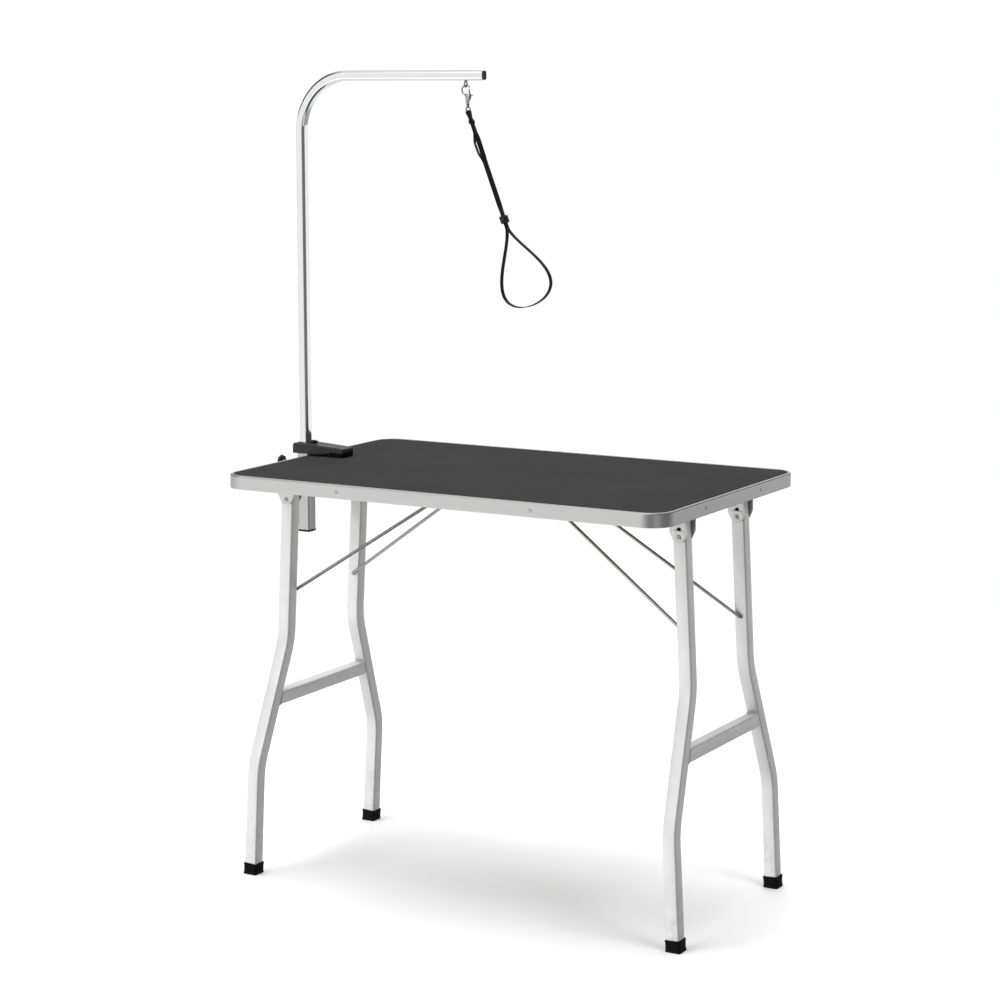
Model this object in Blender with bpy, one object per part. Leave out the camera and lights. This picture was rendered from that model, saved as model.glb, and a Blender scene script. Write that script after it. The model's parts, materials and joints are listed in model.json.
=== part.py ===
"""Folding grooming table with a clamp-on arm, as an assembly of separate pieces.

Metres, +Z up.  The origin is the centre of the work surface, on the top of the
rubber mat.  +X runs along the board, away from the end that carries the arm
(left is -X), and -Y is the front.  The floor is at z = -FLOOR.
"""
import math

import bmesh
import bpy
from mathutils import Matrix, Vector

# ---------------------------------------------------------------- shared sizes
LENGTH = 0.910            # board with its trim, along X
WIDTH = 0.5682            # board with its trim, along Y
HALF_LENGTH, HALF_WIDTH = LENGTH / 2, WIDTH / 2
FLOOR = 0.7837            # height of the mat above the floor
BOARD_TOP = -0.0030
BOARD_BOTTOM = -0.0233
GAP = 0.0003              # clearance between pieces that touch
BORE_OVERRUN = 0.010      # how far a cutter runs past the ends of a bore
SHARP_ANGLE = math.radians(32)   # edges steeper than this are shaded sharp

# ---------------------------------------------------------------- collections
for old in list(bpy.data.objects):
    bpy.data.objects.remove(old, do_unlink=True)

MAIN = bpy.data.collections.new("grooming_table")
CUTTERS = bpy.data.collections.new("grooming_table_cutters")
bpy.context.scene.collection.children.link(MAIN)
bpy.context.scene.collection.children.link(CUTTERS)


# ------------------------------------------------------------------ materials
def make_material(name, color, roughness, metallic):
    mat = bpy.data.materials.new(name)
    mat.use_nodes = True
    bsdf = mat.node_tree.nodes["Principled BSDF"]
    bsdf.inputs["Base Color"].default_value = (*color, 1.0)
    bsdf.inputs["Roughness"].default_value = roughness
    bsdf.inputs["Metallic"].default_value = metallic
    mat.diffuse_color = (*color, 1.0)
    return mat


SILVER = make_material("silver_paint", color=(0.62, 0.62, 0.63), roughness=0.38, metallic=0.25)
TRIM_METAL = make_material("trim_aluminium", color=(0.60, 0.60, 0.61),
                           roughness=0.34, metallic=0.75)
PLATED = make_material("zinc_plate", color=(0.55, 0.55, 0.56), roughness=0.32, metallic=0.9)
CHROME = make_material("chrome", color=(0.80, 0.80, 0.81), roughness=0.08, metallic=1.0)
BLACK_METAL = make_material("black_powder_coat", color=(0.018, 0.018, 0.020),
                            roughness=0.45, metallic=0.2)
BLACK_PLASTIC = make_material("black_plastic", color=(0.012, 0.012, 0.013),
                              roughness=0.42, metallic=0.0)
BLACK_RUBBER = make_material("black_rubber", color=(0.010, 0.010, 0.010),
                             roughness=0.70, metallic=0.0)
MAT_RUBBER = make_material("mat_rubber", color=(0.062, 0.062, 0.062),
                           roughness=0.75, metallic=0.0)
BOARD_WOOD = make_material("board_wood", color=(0.36, 0.26, 0.17), roughness=0.65, metallic=0.0)
NYLON = make_material("nylon_webbing", color=(0.012, 0.012, 0.014),
                      roughness=0.85, metallic=0.0)


# --------------------------------------------------------------------- frames
def frame(origin, x_axis, y_axis, z_axis):
    """Matrix that places local axes along the given world axes."""
    matrix = Matrix((x_axis, y_axis, z_axis)).transposed().to_4x4()
    matrix.translation = Vector(origin)
    return matrix


def at(x, y, z):
    return Matrix.Translation((x, y, z))


def along_x(x, y, z):
    """Local Z becomes world +X, local X becomes +Y."""
    return frame((x, y, z), (0, 1, 0), (0, 0, 1), (1, 0, 0))


def along_y(x, y, z):
    """Local Z becomes world +Y, local X stays +X."""
    return frame((x, y, z), (1, 0, 0), (0, 0, -1), (0, 1, 0))


def upright(x, y, z):
    """The local XY plane stands up as the world XZ plane."""
    return frame((x, y, z), (1, 0, 0), (0, 0, 1), (0, -1, 0))


# --------------------------------------------------------------- mesh helpers
# A piece made with the material None is a cutter, removed once it has cut.
def shade(mesh):
    mesh.shade_smooth()
    mesh.set_sharp_from_angle(angle=SHARP_ANGLE)


def finish(name, bm, mat, matrix=None):
    """Turn a bmesh into an object in its collection."""
    bmesh.ops.recalc_face_normals(bm, faces=bm.faces)
    mesh = bpy.data.meshes.new(name)
    bm.to_mesh(mesh)
    bm.free()
    obj = bpy.data.objects.new(name, mesh)
    if mat is None:
        CUTTERS.objects.link(obj)
        obj.hide_render = True
    else:
        MAIN.objects.link(obj)
        shade(mesh)
        mesh.materials.append(mat)
    if matrix is not None:
        obj.matrix_world = matrix
    return obj


def box(name, low, high, mat, matrix=None, bevel=0.0, segments=2):
    """Axis-aligned box between two corners, optionally with rounded edges."""
    bm = bmesh.new()
    bmesh.ops.create_cube(bm, size=1.0)
    low, high = Vector(low), Vector(high)
    bmesh.ops.scale(bm, vec=high - low, verts=bm.verts)
    bmesh.ops.translate(bm, vec=(low + high) / 2, verts=bm.verts)
    if bevel:
        bmesh.ops.bevel(bm, geom=list(bm.edges), offset=bevel, segments=segments,
                        profile=0.5, affect="EDGES", clamp_overlap=True)
    return finish(name, bm, mat, matrix)


def cylinder(name, radius, low, high, mat, matrix, segments):
    """Cylinder about local Z between two heights."""
    bm = bmesh.new()
    bmesh.ops.create_cone(bm, cap_ends=True, segments=segments, radius1=radius,
                          radius2=radius, depth=high - low)
    bmesh.ops.translate(bm, vec=(0, 0, (low + high) / 2), verts=bm.verts)
    return finish(name, bm, mat, matrix)


def spin_about_z(bm, steps):
    bmesh.ops.spin(bm, geom=list(bm.verts) + list(bm.edges), cent=(0, 0, 0),
                   axis=(0, 0, 1), angle=2 * math.pi, steps=steps, use_merge=True)
    bmesh.ops.remove_doubles(bm, verts=bm.verts, dist=1e-7)


def turned(name, profile, mat, matrix, steps):
    """Turn a profile of (radius, height) points about Z.  Its ends lie on the axis."""
    bm = bmesh.new()
    verts = [bm.verts.new((radius, 0.0, z)) for radius, z in profile]
    for start, stop in zip(verts, verts[1:]):
        bm.edges.new((start, stop))
    spin_about_z(bm, steps)
    return finish(name, bm, mat, matrix)


def ring(name, major, minor, mat, matrix, steps, sides):
    """Torus about Z made as a round section spun about the axis."""
    bm = bmesh.new()
    bmesh.ops.create_circle(bm, cap_ends=False, segments=sides, radius=minor)
    bmesh.ops.rotate(bm, verts=bm.verts, matrix=Matrix.Rotation(math.pi / 2, 3, "X"))
    bmesh.ops.translate(bm, verts=bm.verts, vec=(major, 0, 0))
    spin_about_z(bm, steps)
    return finish(name, bm, mat, matrix)


def poly_curve(name, loops, dimensions, cyclic):
    curve = bpy.data.curves.new(name, "CURVE")
    curve.dimensions = dimensions
    for points in loops:
        spline = curve.splines.new("POLY")
        spline.points.add(len(points) - 1)
        for point, place in zip(spline.points, points):
            point.co = (place[0], place[1], place[2] if len(place) > 2 else 0.0, 1.0)
        spline.use_cyclic_u = cyclic
    obj = bpy.data.objects.new(name, curve)
    bpy.context.scene.collection.objects.link(obj)
    return obj


def drop_curve(obj):
    data = obj.data
    bpy.data.objects.remove(obj, do_unlink=True)
    bpy.data.curves.remove(data)


def evaluated_mesh(obj):
    depsgraph = bpy.context.evaluated_depsgraph_get()
    depsgraph.update()
    return bpy.data.meshes.new_from_object(obj.evaluated_get(depsgraph))


def curve_to_mesh(name, obj, mat, matrix):
    """Turn a curve object into a welded mesh object and drop the curve."""
    mesh = evaluated_mesh(obj)
    drop_curve(obj)
    bm = bmesh.new()
    bm.from_mesh(mesh)
    bpy.data.meshes.remove(mesh)
    bmesh.ops.remove_doubles(bm, verts=bm.verts, dist=2e-6)
    return finish(name, bm, mat, matrix)


def plate(name, loops, thickness, mat, matrix):
    """Flat outline (first loop outside, the others holes) with a thickness,
    centred on its own XY plane."""
    obj = poly_curve(name + "_curve", loops, "2D", True)
    obj.data.fill_mode = "BOTH"
    obj.data.extrude = thickness / 2
    return curve_to_mesh(name, obj, mat, matrix)


def swept(name, path, section, mat, matrix):
    """Sweep a closed section along an open path in the XY plane."""
    profile = poly_curve(name + "_section_curve", [section], "2D", True)
    obj = poly_curve(name + "_curve", [path], "2D", False)
    obj.data.fill_mode = "NONE"
    obj.data.bevel_mode = "OBJECT"
    obj.data.bevel_object = profile
    obj.data.use_fill_caps = True
    piece = curve_to_mesh(name, obj, mat, matrix)
    drop_curve(profile)
    return piece


def wire(name, path, radius, mat, matrix):
    """Round wire along a path of points."""
    obj = poly_curve(name + "_curve", [path], "3D", False)
    obj.data.fill_mode = "FULL"
    obj.data.bevel_depth = radius
    obj.data.bevel_resolution = 1
    obj.data.use_fill_caps = True
    return curve_to_mesh(name, obj, mat, matrix)


def boolean(obj, other, operation):
    """Apply a boolean at once, so that the other piece can be dropped."""
    modifier = obj.modifiers.new(operation.lower(), "BOOLEAN")
    modifier.operation = operation
    modifier.solver = "EXACT"
    modifier.object = other
    mesh = evaluated_mesh(obj)
    obj.modifiers.clear()
    old_mesh = obj.data
    mats = list(old_mesh.materials)
    obj.data = mesh
    mesh.materials.clear()
    for mat in mats:
        mesh.materials.append(mat)
    bpy.data.meshes.remove(old_mesh)
    other_mesh = other.data
    bpy.data.objects.remove(other, do_unlink=True)
    bpy.data.meshes.remove(other_mesh)

    bm = bmesh.new()
    bm.from_mesh(mesh)
    bmesh.ops.remove_doubles(bm, verts=bm.verts, dist=1e-6)
    bmesh.ops.dissolve_degenerate(bm, edges=bm.edges, dist=1e-6)
    bm.to_mesh(mesh)
    bm.free()
    for polygon in mesh.polygons:
        polygon.material_index = 0
    shade(mesh)
    mesh.name = obj.name
    return obj


def cut(obj, cutter):
    return boolean(obj, cutter, "DIFFERENCE")


def join(obj, other):
    return boolean(obj, other, "UNION")


def cut_box(obj, low, high, matrix=None):
    return cut(obj, box("pocket", low, high, None, matrix))


def drill(obj, radius, low, high, matrix, segments):
    return cut(obj, cylinder("hole", radius, low, high, None, matrix, segments))


# ------------------------------------------------------------------- outlines
def rounded_rect(half_x, half_y, radius, steps, centre_x=0.0, centre_y=0.0):
    """Outline of a rectangle with rounded corners, counter-clockwise."""
    points = []
    for sign_x, sign_y, start in ((1, 1, 0), (-1, 1, 90), (-1, -1, 180), (1, -1, 270)):
        for i in range(steps + 1):
            angle = math.radians(start + 90 * i / steps)
            points.append((centre_x + sign_x * (half_x - radius) + radius * math.cos(angle),
                           centre_y + sign_y * (half_y - radius) + radius * math.sin(angle)))
    return points


def rounded_square(half, radius, steps):
    return rounded_rect(half, half, radius, steps)


def square(half):
    return [(half, half), (-half, half), (-half, -half), (half, -half)]


def polar_outline(radius_at, count):
    """Closed outline whose radius is a function of the angle."""
    angles = [2 * math.pi * i / count for i in range(count)]
    return [(radius_at(a) * math.cos(a), radius_at(a) * math.sin(a)) for a in angles]


def circle(radius, count, centre_x=0.0):
    return [(centre_x + x, y) for x, y in polar_outline(lambda angle: radius, count)]


def wing_outline(hub, span, count):
    """Two opposite wings of reach span on a hub."""
    return polar_outline(lambda angle: hub + (span - hub) * abs(math.cos(angle)) ** 4, count)


def fluted_outline(radius, depth, lobes, steps_per_lobe):
    return polar_outline(lambda angle: radius + depth * math.cos(lobes * angle),
                         lobes * steps_per_lobe)


def fillet_path(points, radii, steps):
    """Straight runs through the corner points with arcs of the given radii."""
    path = [points[0]]
    for before, corner, after, radius in zip(points, points[1:], points[2:], radii):
        corner = Vector(corner)
        back = (Vector(before) - corner).normalized()
        ahead = (Vector(after) - corner).normalized()
        half = back.angle(ahead) / 2
        reach = radius / math.tan(half)
        centre = corner + (back + ahead).normalized() * (radius / math.sin(half))
        first = corner + back * reach - centre
        last = corner + ahead * reach - centre
        total = first.angle(last)
        for i in range(steps + 1):
            part = i / steps
            spoke = (first * math.sin((1 - part) * total)
                     + last * math.sin(part * total)) / math.sin(total)
            path.append(tuple(centre + spoke))
    path.append(points[-1])
    return path


def tube(name, path_with_overrun, section, bore_half, mat, matrix):
    """Hollow square tube; the path is a function of its overrun at both ends."""
    outside = swept(name, path_with_overrun(0.0), section, mat, matrix)
    bore = swept("bore", path_with_overrun(BORE_OVERRUN), square(bore_half), None, matrix)
    return cut(outside, bore)


# ------------------------------------------------------------------- tabletop
CORNER_R = 0.0446         # outer corner radius of the trim
TRIM_TOP = 0.0007         # the trim stands a little proud of the mat
TRIM_BOTTOM = -0.0250
TRIM_WALL = 0.0014
TRIM_LIP_T = 0.0012
TRIM_LIP_TOP = 0.0057     # width of the upper lip
TRIM_LIP_BOTTOM = 0.0080  # width of the lower lip
OPENING_IN, OPENING_OUT = 0.004, 0.002   # reach of a lip cutter into and past the trim
BOARD_INSET = TRIM_WALL + 0.0006
MAT_T = 0.0027

SCREW_Z = -0.0128
SCREW_X = 0.2000          # on the front and back edges
SCREW_Y = 0.1150          # on the left and right edges
SCREW_HOLE_R = 0.0021
# (radius, height), height 0 on the outer face of the trim
SCREW_PROFILE = [(0, -0.0150), (0.0010, -0.0140), (0.0017, -0.0125), (0.0017, GAP),
                 (0.0036, GAP), (0.0034, 0.0009), (0.0022, 0.0016), (0, 0.0018)]


def slab(name, inset, low, high, mat, steps):
    """Rounded slab, inset from the outside of the trim."""
    loop = rounded_rect(HALF_LENGTH - inset, HALF_WIDTH - inset, CORNER_R - inset, steps)
    return plate(name, [loop], high - low, mat, at(0, 0, (low + high) / 2))


def make_trim():
    trim = slab("edge_trim", 0.0, TRIM_BOTTOM, TRIM_TOP, TRIM_METAL, 8)
    for inset, low, high in (
            (TRIM_WALL, TRIM_BOTTOM + TRIM_LIP_T, TRIM_TOP - TRIM_LIP_T),
            (TRIM_LIP_TOP, TRIM_TOP - OPENING_IN, TRIM_TOP + OPENING_OUT),
            (TRIM_LIP_BOTTOM, TRIM_BOTTOM - OPENING_OUT, TRIM_BOTTOM + OPENING_IN)):
        cut(trim, slab("opening", inset, low, high, None, 8))
    return trim


def add_trim_screws(trim, board):
    """Two screws on each side, through the trim into the edge of the board."""
    for edge, out_x, out_y in (("front", 0, -1), ("back", 0, 1), ("right", 1, 0), ("left", -1, 0)):
        ends = ("front", "back") if out_x else ("left", "right")
        for end_name, sign in zip(ends, (-1, 1)):
            x = out_x * HALF_LENGTH if out_x else sign * SCREW_X
            y = out_y * HALF_WIDTH if out_y else sign * SCREW_Y
            outward = Vector((out_x, out_y, 0))
            matrix = frame((x, y, SCREW_Z), outward.cross(Vector((0, 0, -1))),
                           (0, 0, 1), outward)
            drill(trim, SCREW_HOLE_R, -0.004, 0.002, matrix, 10)
            drill(board, SCREW_HOLE_R, -0.0165, 0.001, matrix, 10)
            turned(f"trim_screw_{edge}_{end_name}", SCREW_PROFILE, PLATED, matrix, 12)


tabletop = slab("tabletop_board", BOARD_INSET, BOARD_BOTTOM, BOARD_TOP, BOARD_WOOD, 6)
slab("rubber_mat", TRIM_LIP_TOP + GAP, -MAT_T, 0.0, MAT_RUBBER, 6)
add_trim_screws(make_trim(), tabletop)

# ----------------------------------------------------------------- leg frames
# "end" is -1 for the left pair of legs and 1 for the right, "side" is -1 for
# front and 1 for back.  Distances down a leg are measured from its pivot.
TUBE = 0.025              # leg tube, square
TUBE_WALL = 0.0013
TUBE_R = 0.0028
TUBE_BORE = TUBE / 2 - TUBE_WALL
SPLAY = math.radians(3.04)
PIVOT_X = 0.41235
PIVOT_Z = -0.0650
LEG_Y_TOP = 0.1201
LEG_Y_FOOT = 0.2086
LEG_TOP = -0.0345
BEND_1 = 0.2746
BEND_2 = 0.5077
BEND_R = 0.136
LEG_END = 0.7140
CROSSBAR_DOWN = 0.3842
LEG_SLOPE = (LEG_Y_FOOT - LEG_Y_TOP) / (BEND_2 - BEND_1)   # between the bends
UPPER_HOLE_RISE = 0.0150  # second hole, above the pivot
UPPER_HOLE_R = 0.0032

CAP_SIDE = 0.028
CAP_TOP = 0.6980
CAP_BOTTOM = 0.735        # before the cap is trimmed level with the floor
CAP_BEVEL = 0.0025

BRACE_DOWN = 0.1840       # hook hole
BRACE_D = 0.0060
BRACE_Y_END = 0.1160
BRACE_Y_HOOK = 0.1035
BRACE_Y_APEX = {-1: 0.0340, 1: 0.0460}   # the left brace nests inside the right one when folded
HOOK_BEND_R, APEX_BEND_R = 0.0055, 0.0110
HOOK_HOLE_INSET = 0.010   # middle of the hook hole, inward from the leg's centre line
HOOK_HOLE_HALF = 0.006
APEX_X = 0.0950
APEX_DROP = 0.0055        # wire centre below the board

BRACKET_T = 0.0020
BRACKET_TOP = BOARD_BOTTOM - GAP - PIVOT_Z   # heights in a bracket are from the pivot
CHEEK_INNER = TUBE / 2 + 0.0010              # inner face of a cheek, from the leg's centre
EAR_HALF_X, EAR_HALF_Y, EAR_R = 0.0150, 0.0270, 0.0050
EAR_HOLE_Y, EAR_HOLE_R = 0.0215, 0.0024
# Corners (x, height) of the cheek: straight sides that taper to a blunt foot.
CHEEK_CORNERS = [(0.0180, BRACKET_TOP - 0.0006, 0), (0.0180, 0.0100, 0), (0.0100, -0.0075, 0),
                 (-0.0100, -0.0075, 0), (-0.0180, 0.0100, 0),
                 (-0.0180, BRACKET_TOP - 0.0006, 0)]
CHEEK_RADII = [0.0040, 0.0055, 0.0055, 0.0040]
SLOT_HALF_X, SLOT_HALF_Z = 0.0046, 0.0030
SLOT_SHIFT = 0.0008       # towards the end of the board
WEB_NEAR, WEB_FAR = 0.0148, 0.0166   # faces of the web, inboard of the pivot
WEB_BOTTOM = 0.0250
WEB_INTO_TOP = 0.0005     # web top, below the bracket's upper face

RIVET_D = 0.0060
RIVET_HOLE_R = RIVET_D / 2 + GAP
RIVET_HEAD = 0.0019
RIVET_HALF = CHEEK_INNER + BRACKET_T + GAP
# (radius, part of the head's height) outward from the shank
RIVET_HEAD_PROFILE = [(0.0052, 0.0), (0.0042, 0.5), (0.0022, 0.85), (0, 1.0)]

CLIP_T = 0.0014
CLIP_HALF_X, CLIP_HALF_Y, CLIP_R = 0.0150, 0.0140, 0.0040
CLIP_HOLE_X, CLIP_HOLE_R = 0.0105, 0.0018
CLIP_JAW_IN = BRACE_D / 2 + 0.0004
CLIP_JAW_HALF_Y = 0.0110
CLIP_JAW_TOP, CLIP_JAW_BOTTOM = 0.0005, 0.0098   # below the clip's upper face


def leg_down(end):
    return Vector((end * math.sin(SPLAY), 0, -math.cos(SPLAY)))


def leg_frame(end, side):
    """Local X runs down the leg, local Y points away from the centre line."""
    down = leg_down(end)
    out = Vector((0, side, 0))
    return frame((end * PIVOT_X, 0, PIVOT_Z), down, out, down.cross(out))


def leg_hole_frame(end, distance, y):
    """Frame whose Z axis is world +Y, at a distance down the leg."""
    down = leg_down(end)
    back = Vector((0, 1, 0))
    origin = Vector((end * PIVOT_X, y, PIVOT_Z)) + down * distance
    return frame(origin, down, back.cross(down), back)


def leg_path(overrun):
    corners = [(LEG_TOP - overrun, LEG_Y_TOP, 0), (BEND_1, LEG_Y_TOP, 0),
               (BEND_2, LEG_Y_FOOT, 0), (LEG_END + overrun, LEG_Y_FOOT, 0)]
    return fillet_path(corners, [BEND_R, BEND_R], 5)


def make_leg(name, end, side):
    leg = tube(name, leg_path, rounded_square(TUBE / 2, TUBE_R, 2), TUBE_BORE,
               SILVER, leg_frame(end, side))
    y = side * LEG_Y_TOP
    for distance, radius in ((0.0, RIVET_HOLE_R), (-UPPER_HOLE_RISE, UPPER_HOLE_R)):
        drill(leg, radius, -0.02, 0.02, leg_hole_frame(end, distance, y), 12)
    # The hook hole goes through the inner wall only.
    drill(leg, BRACE_D / 2 + GAP, -HOOK_HOLE_HALF, HOOK_HOLE_HALF,
          leg_hole_frame(end, BRACE_DOWN, y - side * HOOK_HOLE_INSET), 12)


def make_crossbar(name, end):
    """Tube between the slanted parts of two legs, its ends cut to their slant."""
    matrix = leg_frame(end, 1)
    top, bottom = CROSSBAR_DOWN - TUBE / 2, CROSSBAR_DOWN + TUBE / 2
    reach = (TUBE / 2 + GAP) / math.cos(math.atan(LEG_SLOPE))
    y_top, y_bottom = (LEG_Y_TOP + (distance - BEND_1) * LEG_SLOPE - reach
                       for distance in (top, bottom))
    outline = [(top, -y_top), (bottom, -y_bottom), (bottom, y_bottom), (top, y_top)]
    bar = plate(name, [outline], TUBE, SILVER, matrix)
    cut_box(bar, (CROSSBAR_DOWN - TUBE_BORE, -0.2, -TUBE_BORE),
            (CROSSBAR_DOWN + TUBE_BORE, 0.2, TUBE_BORE), matrix)


def make_foot(name, end, side):
    matrix = leg_frame(end, side)
    half = CAP_SIDE / 2
    cap = box(name, (CAP_TOP, LEG_Y_FOOT - half, -half), (CAP_BOTTOM, LEG_Y_FOOT + half, half),
              BLACK_RUBBER, matrix, bevel=CAP_BEVEL)
    cut_box(cap, (-1, -1, -FLOOR - 0.2), (1, 1, -FLOOR))
    pocket = TUBE / 2 + GAP
    cut_box(cap, (CAP_TOP - BORE_OVERRUN, LEG_Y_FOOT - pocket, -pocket),
            (LEG_END + GAP, LEG_Y_FOOT + pocket, pocket), matrix)


def make_bracket(name, end, side):
    """Hat section: a top plate with ears, two cheeks and an inboard web."""
    x, y = end * PIVOT_X, side * LEG_Y_TOP
    ear_holes = [[(hole_x, sign * EAR_HOLE_Y + hole_y)
                  for hole_x, hole_y in circle(EAR_HOLE_R, 10)] for sign in (1, -1)]
    bracket = plate(name, [rounded_rect(EAR_HALF_X, EAR_HALF_Y, EAR_R, 3), *ear_holes],
                    BRACKET_T, PLATED, at(x, y, PIVOT_Z + BRACKET_TOP - BRACKET_T / 2))
    outline = fillet_path(CHEEK_CORNERS, CHEEK_RADII, 4)
    slot = rounded_rect(SLOT_HALF_X, SLOT_HALF_Z, SLOT_HALF_Z, 3,
                        end * SLOT_SHIFT, UPPER_HOLE_RISE)
    for sign in (-1, 1):
        matrix = upright(x, y + sign * (CHEEK_INNER + BRACKET_T / 2), PIVOT_Z)
        join(bracket, plate("cheek", [outline, slot, circle(RIVET_HOLE_R, 12)],
                            BRACKET_T, PLATED, matrix))
    low_x, high_x = sorted((x - end * WEB_NEAR, x - end * WEB_FAR))
    half_y = CHEEK_INNER + BRACKET_T / 2
    join(bracket, box("web", (low_x, y - half_y, PIVOT_Z + WEB_BOTTOM),
                      (high_x, y + half_y, PIVOT_Z + BRACKET_TOP - WEB_INTO_TOP), PLATED))


def make_rivet(name, end, side):
    upper = [(radius, RIVET_HALF + RIVET_HEAD * part) for radius, part in RIVET_HEAD_PROFILE]
    upper.insert(0, (RIVET_D / 2, RIVET_HALF))
    lower = [(radius, -z) for radius, z in reversed(upper)]
    turned(name, lower + upper, PLATED, along_y(end * PIVOT_X, side * LEG_Y_TOP, PIVOT_Z), 14)


def make_brace(name, end):
    """Wire from the hook holes up to its bend under the board."""
    hook = leg_frame(end, 1) @ Vector((BRACE_DOWN, 0, 0))
    run = Vector((end * APEX_X, 0, BOARD_BOTTOM - APEX_DROP)) - hook
    length = run.length
    run.normalize()
    back = Vector((0, 1, 0))
    half = BRACE_Y_APEX[end]
    corners = [(0, -BRACE_Y_END, 0), (0, -BRACE_Y_HOOK, 0), (length, -half, 0),
               (length, half, 0), (0, BRACE_Y_HOOK, 0), (0, BRACE_Y_END, 0)]
    path = fillet_path(corners, [HOOK_BEND_R, APEX_BEND_R, APEX_BEND_R, HOOK_BEND_R], 4)
    wire(name, path, BRACE_D / 2, CHROME, frame(hook, run, back, run.cross(back)))


def make_clip(name, end):
    """Spring clip under the board; the bend of the brace sits in it."""
    x = end * APEX_X
    top = BOARD_BOTTOM - GAP
    clip = plate(name, [rounded_rect(CLIP_HALF_X, CLIP_HALF_Y, CLIP_R, 3),
                        circle(CLIP_HOLE_R, 8, CLIP_HOLE_X), circle(CLIP_HOLE_R, 8, -CLIP_HOLE_X)],
                 CLIP_T, PLATED, at(x, 0, top - CLIP_T / 2))
    for sign in (-1, 1):
        low_x, high_x = sorted((x + sign * CLIP_JAW_IN, x + sign * (CLIP_JAW_IN + CLIP_T)))
        join(clip, box("jaw", (low_x, -CLIP_JAW_HALF_Y, top - CLIP_JAW_BOTTOM),
                       (high_x, CLIP_JAW_HALF_Y, top - CLIP_JAW_TOP), PLATED))


for end, end_name in ((-1, "left"), (1, "right")):
    for side, side_name in ((-1, "front"), (1, "back")):
        place = f"{end_name}_{side_name}"
        make_leg(f"leg_tube_{place}", end, side)
        make_foot(f"foot_cap_{place}", end, side)
        make_bracket(f"hinge_bracket_{place}", end, side)
        make_rivet(f"pivot_rivet_{place}", end, side)
    make_crossbar(f"crossbar_{end_name}", end)
    make_brace(f"brace_wire_{end_name}", end)
    make_clip(f"brace_clip_{end_name}", end)

# ---------------------------------------------------------------------- clamp
ARM_X, ARM_Y = -0.4700, 0.0180   # axis of the post
SLEEVE = 0.0250
SLEEVE_BORE = 0.0197
SLEEVE_TOP = 0.0215
SLEEVE_BOTTOM = -0.1490
SLEEVE_CAP_T = 0.0035
LOCK_Z = -0.0187
CLAMP_AXIS = at(-0.4000, ARM_Y, 0)
CLAMP_X = CLAMP_AXIS.translation.x
LOCK_AXIS = along_x(0, ARM_Y, LOCK_Z)   # local heights are world X
SET_X, SET_Y = -0.4465, 0.0110
SET_AXIS = at(SET_X, SET_Y, 0)

UPPER_JAW_HALF_Y = 0.0220
# (x, z) side view of the upper jaw
UPPER_JAW_SIDE = [(-0.4870, 0.0030), (-0.4200, 0.0042), (-0.4060, 0.0090), (-0.3720, 0.0090),
                  (-0.3720, 0.0150), (-0.3760, 0.0178), (-0.4480, 0.0223), (-0.4870, 0.0223)]
JAW_BEVEL_ABOVE = 0.0148  # edges higher than this are rounded
JAW_BEVEL_ANGLE = 0.5     # if they turn by more than this, in radians
JAW_BEVEL = 0.0030
# (x, y) plan of the lower jaw, y from the post axis
LOWER_JAW_PLAN = [(-0.4572, -0.0140), (-0.3950, -0.0140), (-0.3862, -0.0115), (-0.3810, 0.0),
                  (-0.3862, 0.0115), (-0.3950, 0.0140), (-0.4572, 0.0140)]
LOWER_JAW_T, LOWER_JAW_Z = 0.0060, -0.0530
CLAMP_HOLE_R = 0.0043
LOCK_HOLE_R = 0.0033

# Turned profiles, (radius, height along the axis)
PRESSURE_PAD = [(0, -0.0286), (0.0060, -0.0286), (0.0105, -0.0262), (0.0110, -0.0250),
                (0.0110, -0.0238), (0.0108, -0.0236), (0, -0.0236)]
CLAMP_SCREW = [(0, -0.0685), (0.0034, -0.0685), (0.0040, -0.0678), (0.0040, -0.0320),
               (0.0030, -0.0289), (0, -0.0289)]
LOCK_SCREW = [(0, -0.5285), (0.0026, -0.5285), (0.0030, -0.5280), (0.0030, -0.4815),
              (0.0022, -0.4798), (0, -0.4798)]


def about_post(half, low, high):
    """Opposite corners of a square block centred on the post axis."""
    return (ARM_X - half, ARM_Y - half, low), (ARM_X + half, ARM_Y + half, high)


def make_upper_jaw():
    jaw = plate("clamp_upper_jaw", [UPPER_JAW_SIDE], 2 * UPPER_JAW_HALF_Y, BLACK_METAL,
                upright(0, ARM_Y, 0))
    bm = bmesh.new()
    bm.from_mesh(jaw.data)
    top_edges = [edge for edge in bm.edges
                 if all(vert.co.y > JAW_BEVEL_ABOVE for vert in edge.verts)
                 and edge.is_manifold and edge.calc_face_angle() > JAW_BEVEL_ANGLE]
    bmesh.ops.bevel(bm, geom=top_edges, offset=JAW_BEVEL, segments=3, profile=0.5,
                    affect="EDGES", clamp_overlap=True)
    bmesh.ops.recalc_face_normals(bm, faces=bm.faces)
    bm.to_mesh(jaw.data)
    bm.free()
    cut_box(jaw, *about_post(SLEEVE / 2 + GAP, -0.01, 0.05))
    # Channel that hollows the jaw from below.
    cut_box(jaw, (-0.4530, ARM_Y - 0.0185, -0.01), (-0.4050, ARM_Y + 0.0185, 0.0160))
    drill(jaw, 0.0028, 0.0, 0.04, SET_AXIS, 12)


def make_jaw_pad():
    box("jaw_pad", (-0.4035, ARM_Y - 0.0200, GAP), (-0.3735, ARM_Y + 0.0200, 0.0087),
        BLACK_RUBBER, bevel=0.0020)


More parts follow.
